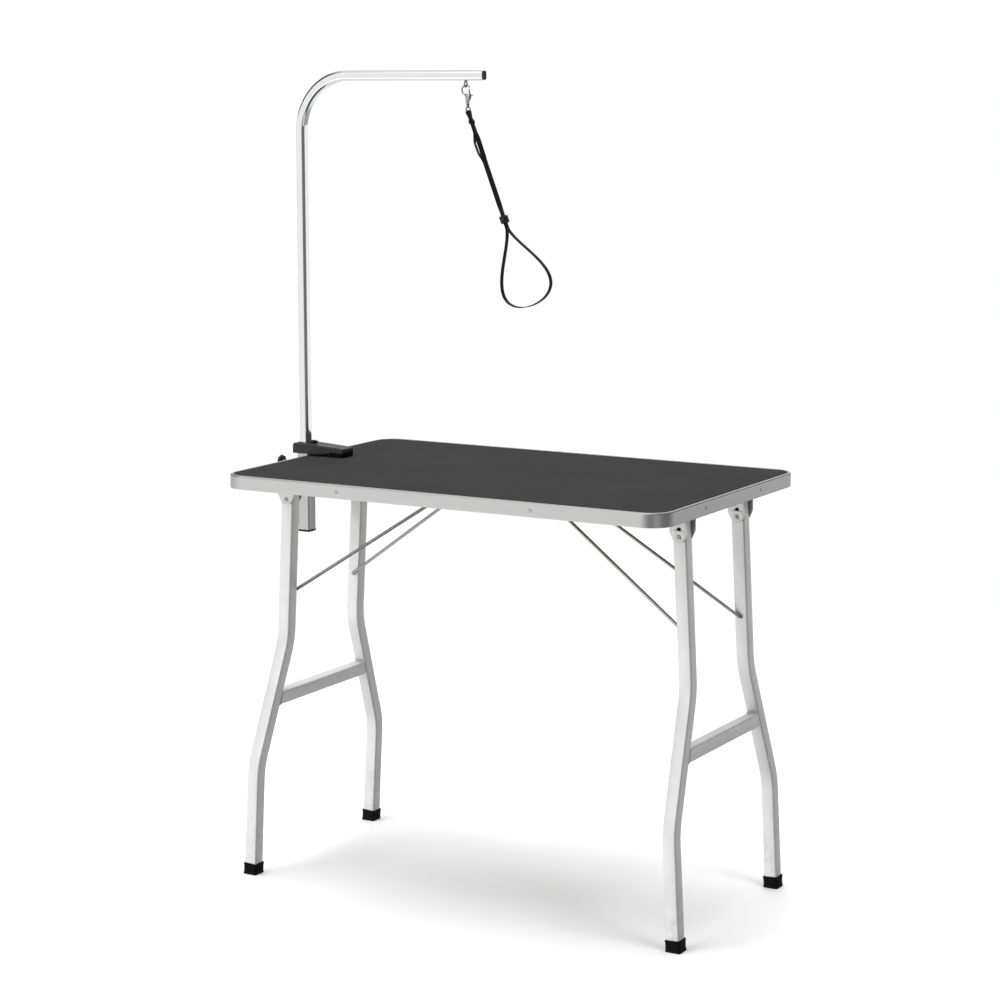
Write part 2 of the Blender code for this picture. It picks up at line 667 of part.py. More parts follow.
def make_sleeve():
    sleeve = plate("clamp_sleeve", [rounded_square(SLEEVE / 2, 0.0022, 3),
                                    rounded_square(SLEEVE_BORE / 2, 0.0010, 2)],
                   SLEEVE_TOP - SLEEVE_BOTTOM, SILVER,
                   at(ARM_X, ARM_Y, (SLEEVE_TOP + SLEEVE_BOTTOM) / 2))
    drill(sleeve, LOCK_HOLE_R, -0.016, -0.006, along_x(ARM_X, ARM_Y, LOCK_Z), 14)


def make_sleeve_cap():
    cap = plate("sleeve_end_cap", [rounded_square(0.0131, 0.0028, 3)], SLEEVE_CAP_T,
                BLACK_PLASTIC, at(ARM_X, ARM_Y, SLEEVE_BOTTOM - GAP - SLEEVE_CAP_T / 2))
    plug = about_post(0.0093, SLEEVE_BOTTOM - 0.002, SLEEVE_BOTTOM + 0.0110)
    join(cap, box("plug", *plug, BLACK_PLASTIC))


def make_lower_jaw():
    plate("clamp_lower_jaw", [LOWER_JAW_PLAN, circle(CLAMP_HOLE_R, 14, CLAMP_X)],
          LOWER_JAW_T, BLACK_METAL, at(0, ARM_Y, LOWER_JAW_Z))


def make_clamp_screw():
    """Vertical screw with a pressure pad on top and a wing knob below."""
    turned("pressure_pad", PRESSURE_PAD, BLACK_RUBBER, CLAMP_AXIS, 20)
    turned("clamp_screw", CLAMP_SCREW, PLATED, CLAMP_AXIS, 16)
    knob = plate("clamp_knob", [wing_outline(hub=0.0075, span=0.0185, count=40)], 0.0058,
                 BLACK_PLASTIC, CLAMP_AXIS @ at(0, 0, -0.0695))
    join(knob, cylinder("hub", 0.0080, -0.0728, -0.0612, BLACK_PLASTIC, CLAMP_AXIS, 20))
    drill(knob, CLAMP_HOLE_R, -0.0688, -0.0500, CLAMP_AXIS, 16)


def make_lock_screw():
    """Screw with nut and fluted knob on the outer (-X) side of the sleeve."""
    turned("lock_screw", LOCK_SCREW, PLATED, LOCK_AXIS, 14)
    plate("lock_nut", [circle(0.0075, 6), circle(LOCK_HOLE_R, 14)], 0.0077, BLACK_METAL,
          along_x(-0.48665, ARM_Y, LOCK_Z))
    outline = fluted_outline(radius=0.0113, depth=0.0007, lobes=8, steps_per_lobe=6)
    knob = plate("lock_knob", [outline], 0.0090, BLACK_PLASTIC, along_x(-0.5280, ARM_Y, LOCK_Z))
    drill(knob, LOCK_HOLE_R, -0.5288, -0.5200, LOCK_AXIS, 14)


def make_set_screw():
    """Small thumb screw in the top of the upper jaw, beside the post."""
    thumb = plate("set_screw", [wing_outline(hub=0.0042, span=0.0085, count=32)], 0.0050,
                  BLACK_PLASTIC,
                  at(SET_X, SET_Y, 0.0256) @ Matrix.Rotation(math.radians(35), 4, "Z"))
    join(thumb, cylinder("shank", 0.0025, 0.0085, 0.0250, BLACK_PLASTIC, SET_AXIS, 12))
    join(thumb, cylinder("boss", 0.0048, 0.0227, 0.0290, BLACK_PLASTIC, SET_AXIS, 16))


make_upper_jaw()
make_jaw_pad()
make_sleeve()
make_sleeve_cap()
make_lower_jaw()
make_clamp_screw()
make_lock_screw()
make_set_screw()

# ------------------------------------------------------------------------ arm
ARM_TUBE = 0.0190
ARM_WALL = 0.0012
ARM_BEND_R = 0.1050
ARM_TOP_Z = 0.7273        # centre line of the level part
ARM_END_X = -0.0660
ARM_FOOT_Z = -0.1050
ARM_UNDER = ARM_TOP_Z - ARM_TUBE / 2
TIP_HALF = 0.0080
PLUG_T = 0.0025
EYE_X = -0.1050
EYE_R, EYE_WIRE = 0.0050, 0.0015
EYE_Z = ARM_UNDER - GAP - EYE_R - EYE_WIRE


def arm_path(overrun):
    corners = [(ARM_X, ARM_FOOT_Z - overrun, 0), (ARM_X, ARM_TOP_Z, 0),
               (ARM_END_X + overrun, ARM_TOP_Z, 0)]
    return fillet_path(corners, [ARM_BEND_R], 12)


def make_arm():
    arm = tube("arm_tube", arm_path, rounded_square(ARM_TUBE / 2, 0.0020, 2),
               ARM_TUBE / 2 - ARM_WALL, CHROME, upright(0, ARM_Y, 0))
    drill(arm, 0.0023, ARM_TOP_Z - 0.014, ARM_TOP_Z - 0.004, at(EYE_X, ARM_Y, 0), 12)


def make_arm_plugs():
    """Plugs in the open end of the level part and the foot of the post."""
    box("arm_end_cap", (ARM_END_X - 0.0130, ARM_Y - TIP_HALF, ARM_TOP_Z - TIP_HALF),
        (ARM_END_X - 0.0004, ARM_Y + TIP_HALF, ARM_TOP_Z + TIP_HALF), BLACK_PLASTIC,
        bevel=0.0018)
    plug = box("post_plug", *about_post(0.0092, ARM_FOOT_Z - GAP - PLUG_T, ARM_FOOT_Z - GAP),
               BLACK_PLASTIC, bevel=0.0008, segments=1)
    stub = about_post(0.0077, ARM_FOOT_Z - 0.001, ARM_FOOT_Z + 0.0100)
    join(plug, box("stub", *stub, BLACK_PLASTIC))


def make_eye():
    """A ring in the YZ plane on a shank that goes up into the tube."""
    eye = ring("arm_eye", EYE_R, EYE_WIRE, CHROME, along_x(EYE_X, ARM_Y, EYE_Z), 18, 8)
    join(eye, cylinder("shank", 0.0019, EYE_Z + EYE_R - 0.0002, ARM_UNDER + 0.0060, CHROME,
                       at(EYE_X, ARM_Y, 0), 12))


make_arm()
make_arm_plugs()
make_eye()

# ------------------------------------------------------------------ snap hook
# Built about the bottom of the eye ring, tilted about Y.
SNAP = at(EYE_X, ARM_Y, EYE_Z - EYE_R) @ Matrix.Rotation(-math.radians(6.9), 4, "Y")
HOOK_R, HOOK_WIRE = 0.0088, 0.0015
HOOK_TOP = 0.0033         # wire centre at the top of the hook
HOOK_START, HOOK_END, HOOK_STEPS = 20, 270, 14   # degrees from local +X, and steps
BOLT_AXIS = SNAP @ at(0.0065, 0, 0)
SWIVEL_Z = -0.0416


def make_snap_hook():
    """Arc in the local XZ plane, open on its +X side, on a body and barrel."""
    arc = []
    for i in range(HOOK_STEPS + 1):
        angle = math.radians(HOOK_START + (HOOK_END - HOOK_START) * i / HOOK_STEPS)
        arc.append((HOOK_R * math.cos(angle), 0.0,
                    HOOK_TOP - HOOK_R + HOOK_R * math.sin(angle)))
    snap = wire("snap_hook", arc, HOOK_WIRE, CHROME, SNAP)
    join(snap, box("body", (-0.0034, -0.0030, -0.0260), (0.0092, 0.0030, -0.0128), CHROME, SNAP,
                   bevel=0.0012))
    join(snap, cylinder("barrel", 0.0034, -0.0345, -0.0240, CHROME, SNAP, 14))
    # Bore and side slot for the bolt, then the bore for the swivel pin.
    drill(snap, 0.0017, -0.0235, -0.0100, BOLT_AXIS, 10)
    cut_box(snap, (0.0056, -0.0010, -0.0225), (0.0110, 0.0010, -0.0150), SNAP)
    drill(snap, 0.0019, -0.0400, -0.0285, SNAP, 12)


def make_snap_bolt():
    bolt = cylinder("snap_bolt", 0.0013, -0.0185, -0.0040, CHROME, BOLT_AXIS, 10)
    join(bolt, box("stud", (0.0060, -0.0007, -0.0175), (0.0124, 0.0007, -0.0160), CHROME, SNAP))


def make_swivel():
    """A rectangular ring below the barrel on a pin that turns in its bore."""
    swivel = plate("swivel_ring", [rounded_rect(0.0085, 0.0052, 0.0028, 3),
                                   rounded_rect(0.0061, 0.0028, 0.0012, 2)],
                   0.0026, CHROME, SNAP @ along_x(0, 0, SWIVEL_Z))
    join(swivel, cylinder("pin", 0.0016, -0.0370, -0.0290, CHROME, SNAP, 12))
    join(swivel, cylinder("collar", 0.0030, -0.0372, -0.0349, CHROME, SNAP, 14))


make_snap_hook()
make_snap_bolt()
make_swivel()

# ---------------------------------------------------------------------- noose
# Hangs from the lower bar of the swivel ring; "down" is measured from that bar.
SWIVEL_BAR_DROP = 0.0040  # middle of the lower bar, below the middle of the ring
STRAP = (Matrix.Translation(SNAP @ Vector((0, 0, SWIVEL_Z - SWIVEL_BAR_DROP)))
         @ Matrix.Rotation(-math.radians(21.3), 4, "Y"))
STRAP_W = 0.0100
STRAP_T = 0.0016
BAR_OFFSET = 0.0029       # strap centre line from the middle of the swivel's bar
CLOSE = 0.0011            # half distance between the two strands where they lie together
NECK_END = 0.011          # the strands have come together here
BULGE = 0.0014            # extra half distance where the strands part again
BULGE_IN = (0.034, 0.062)
BULGE_OUT = (0.066, 0.094)
# Distances down at which the straight strands have points
STRAND_STATIONS = [0.0, 0.003, 0.006, 0.009, 0.012, 0.022, 0.034, 0.043, 0.052, 0.062,
                   0.066, 0.075, 0.085, 0.094, 0.120, 0.170, 0.210]
LOOP_START = 0.2250
LOOP_LEN = 0.1500
LOOP_WIDTH = 0.0800       # scale of the loop's sideways swell
LOOP_STEPS = 18
OVER_STEPS = 6            # over the swivel's bar


def smoothstep(start, stop, x):
    t = max(0.0, min(1.0, (x - start) / (stop - start)))
    return t * t * (3 - 2 * t)


def strand_offset(down):
    """Half distance between the two strands."""
    neck = BAR_OFFSET + (CLOSE - BAR_OFFSET) * smoothstep(0.0, NECK_END, down)
    return neck + BULGE * smoothstep(*BULGE_IN, down) * (1 - smoothstep(*BULGE_OUT, down))


def noose_centre_line():
    """Points of the closed loop in (x, down) coordinates, +X side first."""
    right = [(strand_offset(down), down) for down in STRAND_STATIONS]
    for i in range(LOOP_STEPS + 1):
        t = math.pi * i / LOOP_STEPS
        x = CLOSE * (1 + math.cos(t)) / 2 + LOOP_WIDTH * math.sin(t) * math.sin(t / 2) ** 2
        right.append((x, LOOP_START + LOOP_LEN / 2 * (1 - math.cos(t))))
    left = [(-x, down) for x, down in reversed(right[:-1])]
    angles = [math.pi * i / OVER_STEPS for i in range(1, OVER_STEPS)]
    over = [(-BAR_OFFSET * math.cos(a), -BAR_OFFSET * math.sin(a)) for a in angles]
    return right + left + over


def strap_face(line, distance):
    """The centre line moved sideways by a distance, as (x, z) points."""
    face = []
    for i, (x, down) in enumerate(line):
        before, after = Vector(line[i - 1]), Vector(line[(i + 1) % len(line)])
        tangent = (after - before).normalized()
        face.append((x + tangent.y * distance, -(down - tangent.x * distance)))
    return face


def make_strap():
    line = noose_centre_line()
    plate("noose_strap", [strap_face(line, STRAP_T / 2), strap_face(line, -STRAP_T / 2)],
          STRAP_W, NYLON, STRAP @ upright(0, 0, 0))


def make_strap_block(name, top, bottom, half_x, half_y, mat, bevel):
    """Block around both strands, between two distances down."""
    block = box(name, (-half_x, -half_y, -bottom), (half_x, half_y, -top), mat, STRAP, bevel)
    slot_x, slot_y = CLOSE + STRAP_T / 2 + GAP, STRAP_W / 2 + GAP
    cut_box(block, (-slot_x, -slot_y, -bottom - BORE_OVERRUN),
            (slot_x, slot_y, -top + BORE_OVERRUN), STRAP)


make_strap()
make_strap_block("strap_keeper", top=0.0150, bottom=0.0230, half_x=0.0034, half_y=0.0066,
                 mat=NYLON, bevel=0.0008)
make_strap_block("noose_slider", top=0.2020, bottom=0.2160, half_x=0.0062, half_y=0.0082,
                 mat=BLACK_PLASTIC, bevel=0.0014)
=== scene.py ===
"""Folding grooming table with a clamp-on arm and noose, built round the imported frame.

Metres, +Z up, origin at the centre of the work surface.  -Y is the front, the arm stands at the
left end (-X) and reaches towards +X, and the floor is at z = -FLOOR.
Every piece is built in place and rides on the body of the node it stands for.
"""

import json
import math

import bmesh
import bpy
from mathutils import Matrix, Vector


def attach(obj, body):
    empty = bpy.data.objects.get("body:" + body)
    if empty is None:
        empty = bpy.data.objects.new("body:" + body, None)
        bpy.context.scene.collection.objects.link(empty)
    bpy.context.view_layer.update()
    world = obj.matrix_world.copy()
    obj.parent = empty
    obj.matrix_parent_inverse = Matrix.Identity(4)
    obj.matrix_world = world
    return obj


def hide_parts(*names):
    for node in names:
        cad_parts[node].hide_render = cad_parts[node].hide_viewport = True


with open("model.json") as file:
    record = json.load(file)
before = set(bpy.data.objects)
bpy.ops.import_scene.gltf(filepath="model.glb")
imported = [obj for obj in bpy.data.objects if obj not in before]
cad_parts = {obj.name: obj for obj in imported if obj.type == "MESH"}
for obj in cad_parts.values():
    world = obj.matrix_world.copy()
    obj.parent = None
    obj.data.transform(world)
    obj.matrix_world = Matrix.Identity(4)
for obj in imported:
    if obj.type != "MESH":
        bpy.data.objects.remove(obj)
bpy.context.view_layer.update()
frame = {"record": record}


BODY_OF = {node: body for body, nodes in frame["record"]["behaviour"]["bodies"].items()
           for node in nodes}

# ================================================================== dimensions
GAP = 0.0003  # clearance between neighbouring pieces

# Table top
HALF_LENGTH = 0.910 / 2
HALF_WIDTH = 0.5682 / 2
FLOOR = 0.7837
CORNER_R = 0.0446
TRIM_WALL = 0.0014
MAT_THICK = 0.0027
BOARD_TOP = -0.0030
BOARD_BOTTOM = -0.0233
TRIM_SCREW_X = 0.2000
TRIM_SCREW_Y = 0.1150
TRIM_SCREW_Z = -0.0128

# Leg frames; "down" values run along the splayed leg from its pivot
TUBE = 0.025
TUBE_WALL = 0.0013
TUBE_R = 0.0028
SPLAY = math.radians(3.04)
PIVOT_X = 0.41235
PIVOT_Z = -0.0650
LEG_Y_TOP = 0.1201
LEG_Y_FOOT = 0.2086
BEND_1 = 0.2746
BEND_2 = 0.5077
BEND_R = 0.136
LEG_TOP = -0.0345
LEG_END = 0.7140
CROSSBAR_DOWN = 0.3842
FOOT_CAP_SIDE = 0.028
FOOT_CAP_TOP = 0.6980
RIVET_D = 0.0060

# Hinge brackets, brace wires and their clips
BRACKET_THICK = 0.0020
BRACKET_GAP = TUBE / 2 + 0.0010  # from the leg's centre to the inner face of a cheek
BRACKET_SCREW_Y = 0.0215
BRACE_DOWN = 0.1840
BRACE_D = 0.0060
BRACE_Y_HOOK = 0.1035
BRACE_Y_END = 0.1160
BRACE_Y_APEX = {-1: 0.0340, 1: 0.0460}
APEX_X = 0.0950
APEX_DROP = 0.0055
CLIP_THICK = 0.0014
CLIP_SCREW_X = 0.0105

# Arm and sleeve
ARM_X = -0.4700
ARM_Y = 0.0180
ARM_TUBE = 0.0190
ARM_WALL = 0.0012
ARM_BEND_R = 0.1050
ARM_TOP_Z = 0.7273
ARM_END_X = -0.0660
ARM_FOOT_Z = -0.1050
SLEEVE = 0.0250
SLEEVE_BORE = 0.0197
SLEEVE_TOP = 0.0215
SLEEVE_BOTTOM = -0.1490

# Clamp
CLAMP_X = -0.4000
LOWER_JAW_Z = -0.0530
LOWER_JAW_THICK = 0.0060
LOWER_JAW_HALF = 0.0140
LOWER_JAW_END_X = -0.3950  # centre of the rounded end
SET_X = -0.4465
SET_Y = 0.0110
LOCK_Z = -0.0187
LOCK_NUT_X = -0.48665

# Eye, snap hook and swivel
EYE_X = -0.1050
EYE_R = 0.0050
EYE_WIRE = 0.0015
SNAP_TILT = math.radians(6.9)
HOOK_R = 0.0088
HOOK_WIRE = 0.0015
BOLT_X = 0.0065

# Noose; "drop" values run down the strap from the swivel ring
STRAP_TILT = math.radians(21.3)
STRAP_W = 0.0108
STRAP_T = 0.0016
LOOP_START = 0.2250
LOOP_LENGTH = 0.1500
LOOP_REACH = 0.0800
BAR_OFFSET = 0.0029  # strap's centre line from the middle, at the swivel ring
CLOSE_OFFSET = 0.0011  # and where the two strands lie together

KIT = bpy.data.collections.new("looks")
bpy.context.scene.collection.children.link(KIT)


# ============================================================== material nodes
MIDDLE = (0.35, 0.65)  # the range most noise values fall in


class Shader:
    """A small writer for node materials."""

    def __init__(self, name):
        self.material = bpy.data.materials.new(name)
        self.material.use_nodes = True
        self.tree = self.material.node_tree
        self.tree.nodes.clear()
        self.output = self.tree.nodes.new("ShaderNodeOutputMaterial")
        self.principled = self.tree.nodes.new("ShaderNodeBsdfPrincipled")
        self.link(self.principled.outputs[0], self.output.inputs[0])
        self.coords = self.tree.nodes.new("ShaderNodeTexCoord")

    def link(self, source, socket):
        self.tree.links.new(source, socket)

    def put(self, socket, value):
        if isinstance(value, bpy.types.NodeSocket):
            self.link(value, socket)
        else:
            socket.default_value = value

    def node(self, kind, inputs=None, **props):
        node = self.tree.nodes.new(kind)
        for key, value in props.items():
            setattr(node, key, value)
        for key, value in (inputs or {}).items():
            self.put(node.inputs[key], value)
        return node

    def mapped(self, scale=(1, 1, 1), turn=(0, 0, 0), source="Object"):
        return self.node("ShaderNodeMapping", {"Vector": self.coords.outputs[source],
                                               "Scale": scale, "Rotation": turn}).outputs[0]

    def noise(self, vector, scale=1.0, detail=3.0, rough=0.55):
        return self.node("ShaderNodeTexNoise", {"Vector": vector, "Scale": scale,
                                                "Detail": detail, "Roughness": rough}).outputs[0]

    def cloud(self, vector, over=MIDDLE, to=(0.0, 1.0), **noise):
        """Noise with its range 'over' stretched to 'to'."""
        return self.span(self.noise(vector, **noise), over, to)

    def voronoi(self, vector, scale, feature="F1", out="Distance"):
        return self.node("ShaderNodeTexVoronoi", {"Vector": vector, "Scale": scale},
                         feature=feature).outputs[out]

    def channel(self, colour, index):
        return self.node("ShaderNodeSeparateColor", {0: colour}).outputs[index]

    def height_of(self, vector):
        return self.node("ShaderNodeSeparateXYZ", {0: vector}).outputs[2]

    def math(self, operation, a, b=0.0, clamp=False):
        return self.node("ShaderNodeMath", {0: a, 1: b, 2: 0.0}, operation=operation,
                         use_clamp=clamp).outputs[0]

    def multiply(self, a, b):
        return self.math("MULTIPLY", a, b)

    def add(self, a, b):
        return self.math("ADD", a, b)

    def span(self, value, over=MIDDLE, to=(0.0, 1.0)):
        return self.node("ShaderNodeMapRange", {0: value, 1: over[0], 2: over[1],
                                                3: to[0], 4: to[1]}).outputs[0]

    def mix(self, amount, first, second, blend="MIX"):
        node = self.node("ShaderNodeMix", data_type="RGBA", blend_type=blend)
        self.put(node.inputs[0], amount)
        for index, colour in ((6, first), (7, second)):
            is_socket = isinstance(colour, bpy.types.NodeSocket)
            self.put(node.inputs[index], colour if is_socket else (*colour, 1.0))
        return node.outputs[2]

    def layer(self, base, colour, mask, strength):
        """Lays a colour over the base where the mask is, as strongly as given."""
        return self.mix(self.multiply(mask, strength), base, colour)

    def bump(self, height, distance, strength, normal=None):
        inputs = {"Height": height, "Distance": distance, "Strength": strength}
        if normal is not None:
            inputs["Normal"] = normal
        return self.node("ShaderNodeBump", inputs).outputs[0]

    def edge(self, radius):
        """1 on edges and 0 on flats, from the difference between rounded and true normal."""
        bevel = self.node("ShaderNodeBevel", {"Radius": radius}, samples=3)
        true_normal = self.node("ShaderNodeNewGeometry").outputs["Normal"]
        dot = self.node("ShaderNodeVectorMath", {0: bevel.outputs[0], 1: true_normal},
                        operation="DOT_PRODUCT").outputs["Value"]
        gain = 6.0
        return self.math("MULTIPLY", self.math("SUBTRACT", 1.0, dot), gain, clamp=True)

    def shade(self, base, reach, darkest):
        """Painted shade: darkens the colour in deep corners and recesses that ambient occlusion
        finds.
        """
        openness = self.node("ShaderNodeAmbientOcclusion", {"Distance": reach},
                             samples=6).outputs["AO"]
        tone = self.span(openness, over=(0.15, 0.80), to=(darkest, 1.0))
        return self.mix(1.0, base, tone, "MULTIPLY")

    def set(self, **inputs):
        for key, value in inputs.items():
            self.put(self.principled.inputs[key.replace("_", " ")], value)
        return self.material


def grey(value, warm=0.0):
    return (value * (1 + warm), value, value * (1 - warm))


def make_silver_paint():
    """Silver stove enamel: fine flake, slight orange peel, light rub marks and worn edges."""
    look = Shader("silver_paint_look")
    pos = look.mapped()
    base = look.mix(look.cloud(pos, scale=14.0, detail=4.0, rough=0.6),
                    grey(0.83, warm=0.002), grey(0.88))
    flake = look.channel(look.voronoi(pos, scale=5200.0, out="Color"), 0)
    base = look.layer(base, grey(0.90), mask=flake, strength=0.10)
    rub = look.cloud(look.mapped(scale=(30, 30, 900)), over=(0.60, 0.78), rough=0.7)
    base = look.layer(base, grey(0.58), mask=rub, strength=0.10)
    low = look.span(look.height_of(pos), over=(-0.62, -0.76))
    dirt = look.multiply(low, look.cloud(pos, over=(0.42, 0.7), scale=90.0, detail=5.0))
    base = look.layer(base, (0.33, 0.31, 0.28), mask=dirt, strength=0.28)
    base = look.layer(base, grey(0.78), mask=look.edge(radius=0.0007),
                      strength=look.cloud(pos, over=(0.45, 0.62), to=(0.15, 0.6),
                                          scale=160.0, detail=4.0))
    rough = look.cloud(pos, over=(0.3, 0.7), to=(0.40, 0.50), scale=60.0, detail=4.0)
    rough = look.add(rough, look.multiply(rub, 0.05))
    peel = look.noise(pos, scale=750.0, detail=2.0, rough=0.5)
    grain = look.noise(pos, scale=4200.0, detail=1.0)
    bump = look.bump(peel, distance=0.00006, strength=0.45)
    bump = look.bump(grain, distance=0.00001, strength=0.4, normal=bump)
    # Painted shade: the base colour is darkened by occlusion in corners and under the table.
    return look.set(Base_Color=look.shade(base, reach=0.012, darkest=0.40), Metallic=0.55,
                    Roughness=rough, Normal=bump, Specular_IOR_Level=0.5)


def make_trim_metal():
    """Anodised aluminium extrusion with die lines running round the edge of the table."""
    look = Shader("trim_aluminium_look")
    pos = look.mapped()
    lines = look.noise(look.mapped(scale=(7, 7, 3600)), detail=4.0, rough=0.65)
    wide = look.noise(look.mapped(scale=(3, 3, 600)), detail=2.0, rough=0.5)
    base = look.mix(look.span(lines, over=(0.3, 0.7)),
                    grey(0.47, warm=0.004), grey(0.56, warm=0.002))
    base = look.layer(base, grey(0.51, warm=0.008), mask=look.cloud(pos, scale=9.0),
                      strength=0.35)
    scuff = look.multiply(
        look.cloud(look.mapped(scale=(260, 260, 1500)), over=(0.66, 0.74), detail=2.0, rough=0.5),
        look.cloud(pos, over=(0.5, 0.62), to=(0.0, 0.5), scale=22.0, detail=2.0))
    base = look.mix(scuff, base, grey(0.42))
    base = look.layer(base, grey(0.82), mask=look.edge(radius=0.0006), strength=0.35)
    rough = look.span(lines, over=(0.25, 0.75), to=(0.25, 0.37))
    rough = look.add(rough, look.multiply(scuff, 0.2))
    bump = look.bump(lines, distance=0.00003, strength=0.5)
    bump = look.bump(wide, distance=0.00004, strength=0.3, normal=bump)
    return look.set(Base_Color=base, Metallic=0.85, Roughness=rough, Normal=bump)


def make_zinc():
    """Bright zinc plate: faint mottling, small pits, brighter edges."""
    look = Shader("zinc_plate_look")
    pos = look.mapped()
    mottle = look.voronoi(pos, scale=420.0, feature="SMOOTH_F1")
    base = look.mix(look.cloud(pos, scale=55.0, detail=4.0),
                    (0.50, 0.505, 0.515), (0.63, 0.625, 0.615))
    base = look.layer(base, grey(0.46), mask=look.span(mottle, over=(0.1, 0.6)), strength=0.18)
    base = look.layer(base, grey(0.80), mask=look.edge(radius=0.0005), strength=0.5)
    rough = look.cloud(pos, over=(0.3, 0.7), to=(0.26, 0.42), scale=300.0)
    bump = look.bump(look.noise(pos, scale=1400.0, detail=2.0), distance=0.00003, strength=0.4)
    # Painted shade: the base colour is darkened by occlusion in recesses such as the rivet bores.
    return look.set(Base_Color=look.shade(base, reach=0.010, darkest=0.28), Metallic=0.85,
                    Roughness=rough, Normal=bump)


def make_plated(name, tone, rough_range, mottle=1.0):
    """Nickel plate on drawn wire, small castings and the sleeve: darker than the chrome."""
    look = Shader(name)
    pos = look.mapped()
    base = look.mix(look.cloud(pos, scale=130.0, detail=4.0),
                    grey(tone, warm=-0.004), grey(tone + 0.09 * mottle, warm=0.004))
    spots = look.cloud(pos, over=(0.66, 0.74), to=(0.0, 0.5 * mottle), scale=520.0, detail=2.0)
    base = look.mix(spots, base, grey(tone * 0.62, warm=0.02))
    rough = look.cloud(pos, over=(0.3, 0.7), to=rough_range, scale=260.0)
    bump = look.bump(look.noise(pos, scale=900.0, detail=2.0), distance=0.00002,
                     strength=0.35 * mottle)
    # Painted shade: the base colour is darkened by occlusion in recesses and under neighbouring
    # parts.
    return look.set(Base_Color=look.shade(base, reach=0.006, darkest=0.35), Metallic=1.0,
                    Roughness=rough, Normal=bump)


def make_chrome():
    """Polished chrome with the faint haze and hairlines of handling."""
    look = Shader("chrome_look")
    pos = look.mapped()
    haze = look.cloud(pos, over=(0.45, 0.75), scale=26.0, detail=5.0, rough=0.6)
    hair = look.cloud(look.mapped(scale=(2200, 2200, 60), turn=(0.2, 0.1, 0.0)),
                      over=(0.68, 0.75), detail=2.0, rough=0.6)
    base = look.layer((0.86, 0.865, 0.87), (0.80, 0.80, 0.805), mask=haze, strength=0.4)
    rough = look.add(look.span(haze, over=(0.0, 1.0), to=(0.045, 0.10)),
                     look.multiply(hair, 0.06))
    bump = look.bump(look.noise(pos, scale=120.0, detail=2.0), distance=0.00003, strength=0.25)
    return look.set(Base_Color=base, Metallic=1.0, Roughness=rough, Normal=bump)


def make_black_coat():
    """Black powder coat: fine pebble, greyed edges, a little dust on top."""
    look = Shader("black_powder_coat_look")
    pos = look.mapped()
    pebble = look.noise(pos, scale=1500.0, detail=2.0, rough=0.5)
    cloud = look.noise(pos, scale=40.0, detail=4.0)
    base = look.mix(look.span(cloud), grey(0.010), grey(0.016))
    facing_up = look.height_of(look.node("ShaderNodeNewGeometry").outputs["Normal"])
    base = look.layer(base, (0.20, 0.19, 0.18), mask=look.span(facing_up, over=(0.5, 1.0)),
                      strength=look.cloud(pos, over=(0.4, 0.75), to=(0.0, 0.10),
                                          scale=70.0, detail=5.0))
    base = look.layer(base, grey(0.12), mask=look.edge(radius=0.0010),
                      strength=look.cloud(pos, over=(0.42, 0.62), to=(0.1, 0.75),
                                          scale=240.0, detail=4.0))
    return look.set(Base_Color=base, Roughness=look.span(cloud, over=(0.3, 0.7), to=(0.36, 0.50)),
                    Normal=look.bump(pebble, distance=0.00010, strength=0.5),
                    Specular_IOR_Level=0.40)


def make_black_plastic():
    """Moulded nylon: eroded-tool grain, satin."""
    look = Shader("black_plastic_look")
    pos = look.mapped()
    grain = look.voronoi(pos, scale=2600.0, feature="SMOOTH_F1")
    base = look.mix(look.cloud(pos, scale=80.0), grey(0.007), grey(0.012))
    base = look.layer(base, grey(0.05), mask=look.edge(radius=0.0006), strength=0.30)
    return look.set(Base_Color=base, Roughness=look.span(grain, over=(0.0, 0.6), to=(0.34, 0.48)),
                    Normal=look.bump(grain, distance=0.00006, strength=0.35),
                    Specular_IOR_Level=0.35)


def make_black_rubber():
    """Black rubber: matt, dusty towards the floor, a little chalking at the edges."""
    look = Shader("black_rubber_look")
    pos = look.mapped()
    cloud = look.noise(pos, scale=120.0, detail=4.0)
    low = look.span(look.height_of(pos), over=(-0.765, -0.785))
    base = look.mix(look.span(cloud, over=(0.35, 0.7)), grey(0.0025), grey(0.0045))
    base = look.layer(base, (0.06, 0.057, 0.052), mask=low,
                      strength=look.cloud(pos, over=(0.4, 0.75), to=(0.0, 0.22),
                                          scale=420.0, detail=4.0))
    base = look.layer(base, grey(0.02), mask=look.edge(radius=0.0010), strength=0.08)
    bump = look.bump(look.noise(pos, scale=1600.0), distance=0.00008, strength=0.4)
    return look.set(Base_Color=base, Roughness=look.span(cloud, over=(0.3, 0.7), to=(0.58, 0.76)),
                    Normal=bump, Specular_IOR_Level=0.12)


def make_mat_rubber():
    """Non-slip rubber sheet: fine raised pebble, faint calender bands, paw-rubbed patches."""
    look = Shader("mat_rubber_look")
    pos = look.mapped()
    pebble = look.voronoi(pos, scale=720.0, feature="SMOOTH_F1")
    fine = look.noise(pos, scale=2400.0, rough=0.6)
    bands = look.cloud(look.mapped(scale=(1.2, 34.0, 1.0)), detail=2.0, rough=0.5)
    patches = look.noise(pos, scale=5.5, detail=4.0)
    base = look.mix(bands, grey(0.0232), grey(0.0250))
    base = look.layer(base, grey(0.0285, warm=0.01), mask=look.span(patches, over=(0.42, 0.72)),
                      strength=0.30)
    # Painted shade: darker in the hollows between the raised pebbles.
    base = look.layer(base, grey(0.017), mask=look.span(pebble, over=(0.25, 0.55)), strength=0.35)
    lint = look.cloud(pos, over=(0.74, 0.80), scale=950.0, detail=1.0)
    base = look.layer(base, grey(0.14), mask=lint, strength=0.08)
    bump = look.bump(look.math("SUBTRACT", 1.0, pebble), distance=0.00016, strength=0.6)
    bump = look.bump(fine, distance=0.00003, strength=0.4, normal=bump)
    return look.set(Base_Color=base, Roughness=look.span(patches, over=(0.3, 0.7), to=(0.86, 0.78)),
                    Normal=bump, Specular_IOR_Level=0.10)


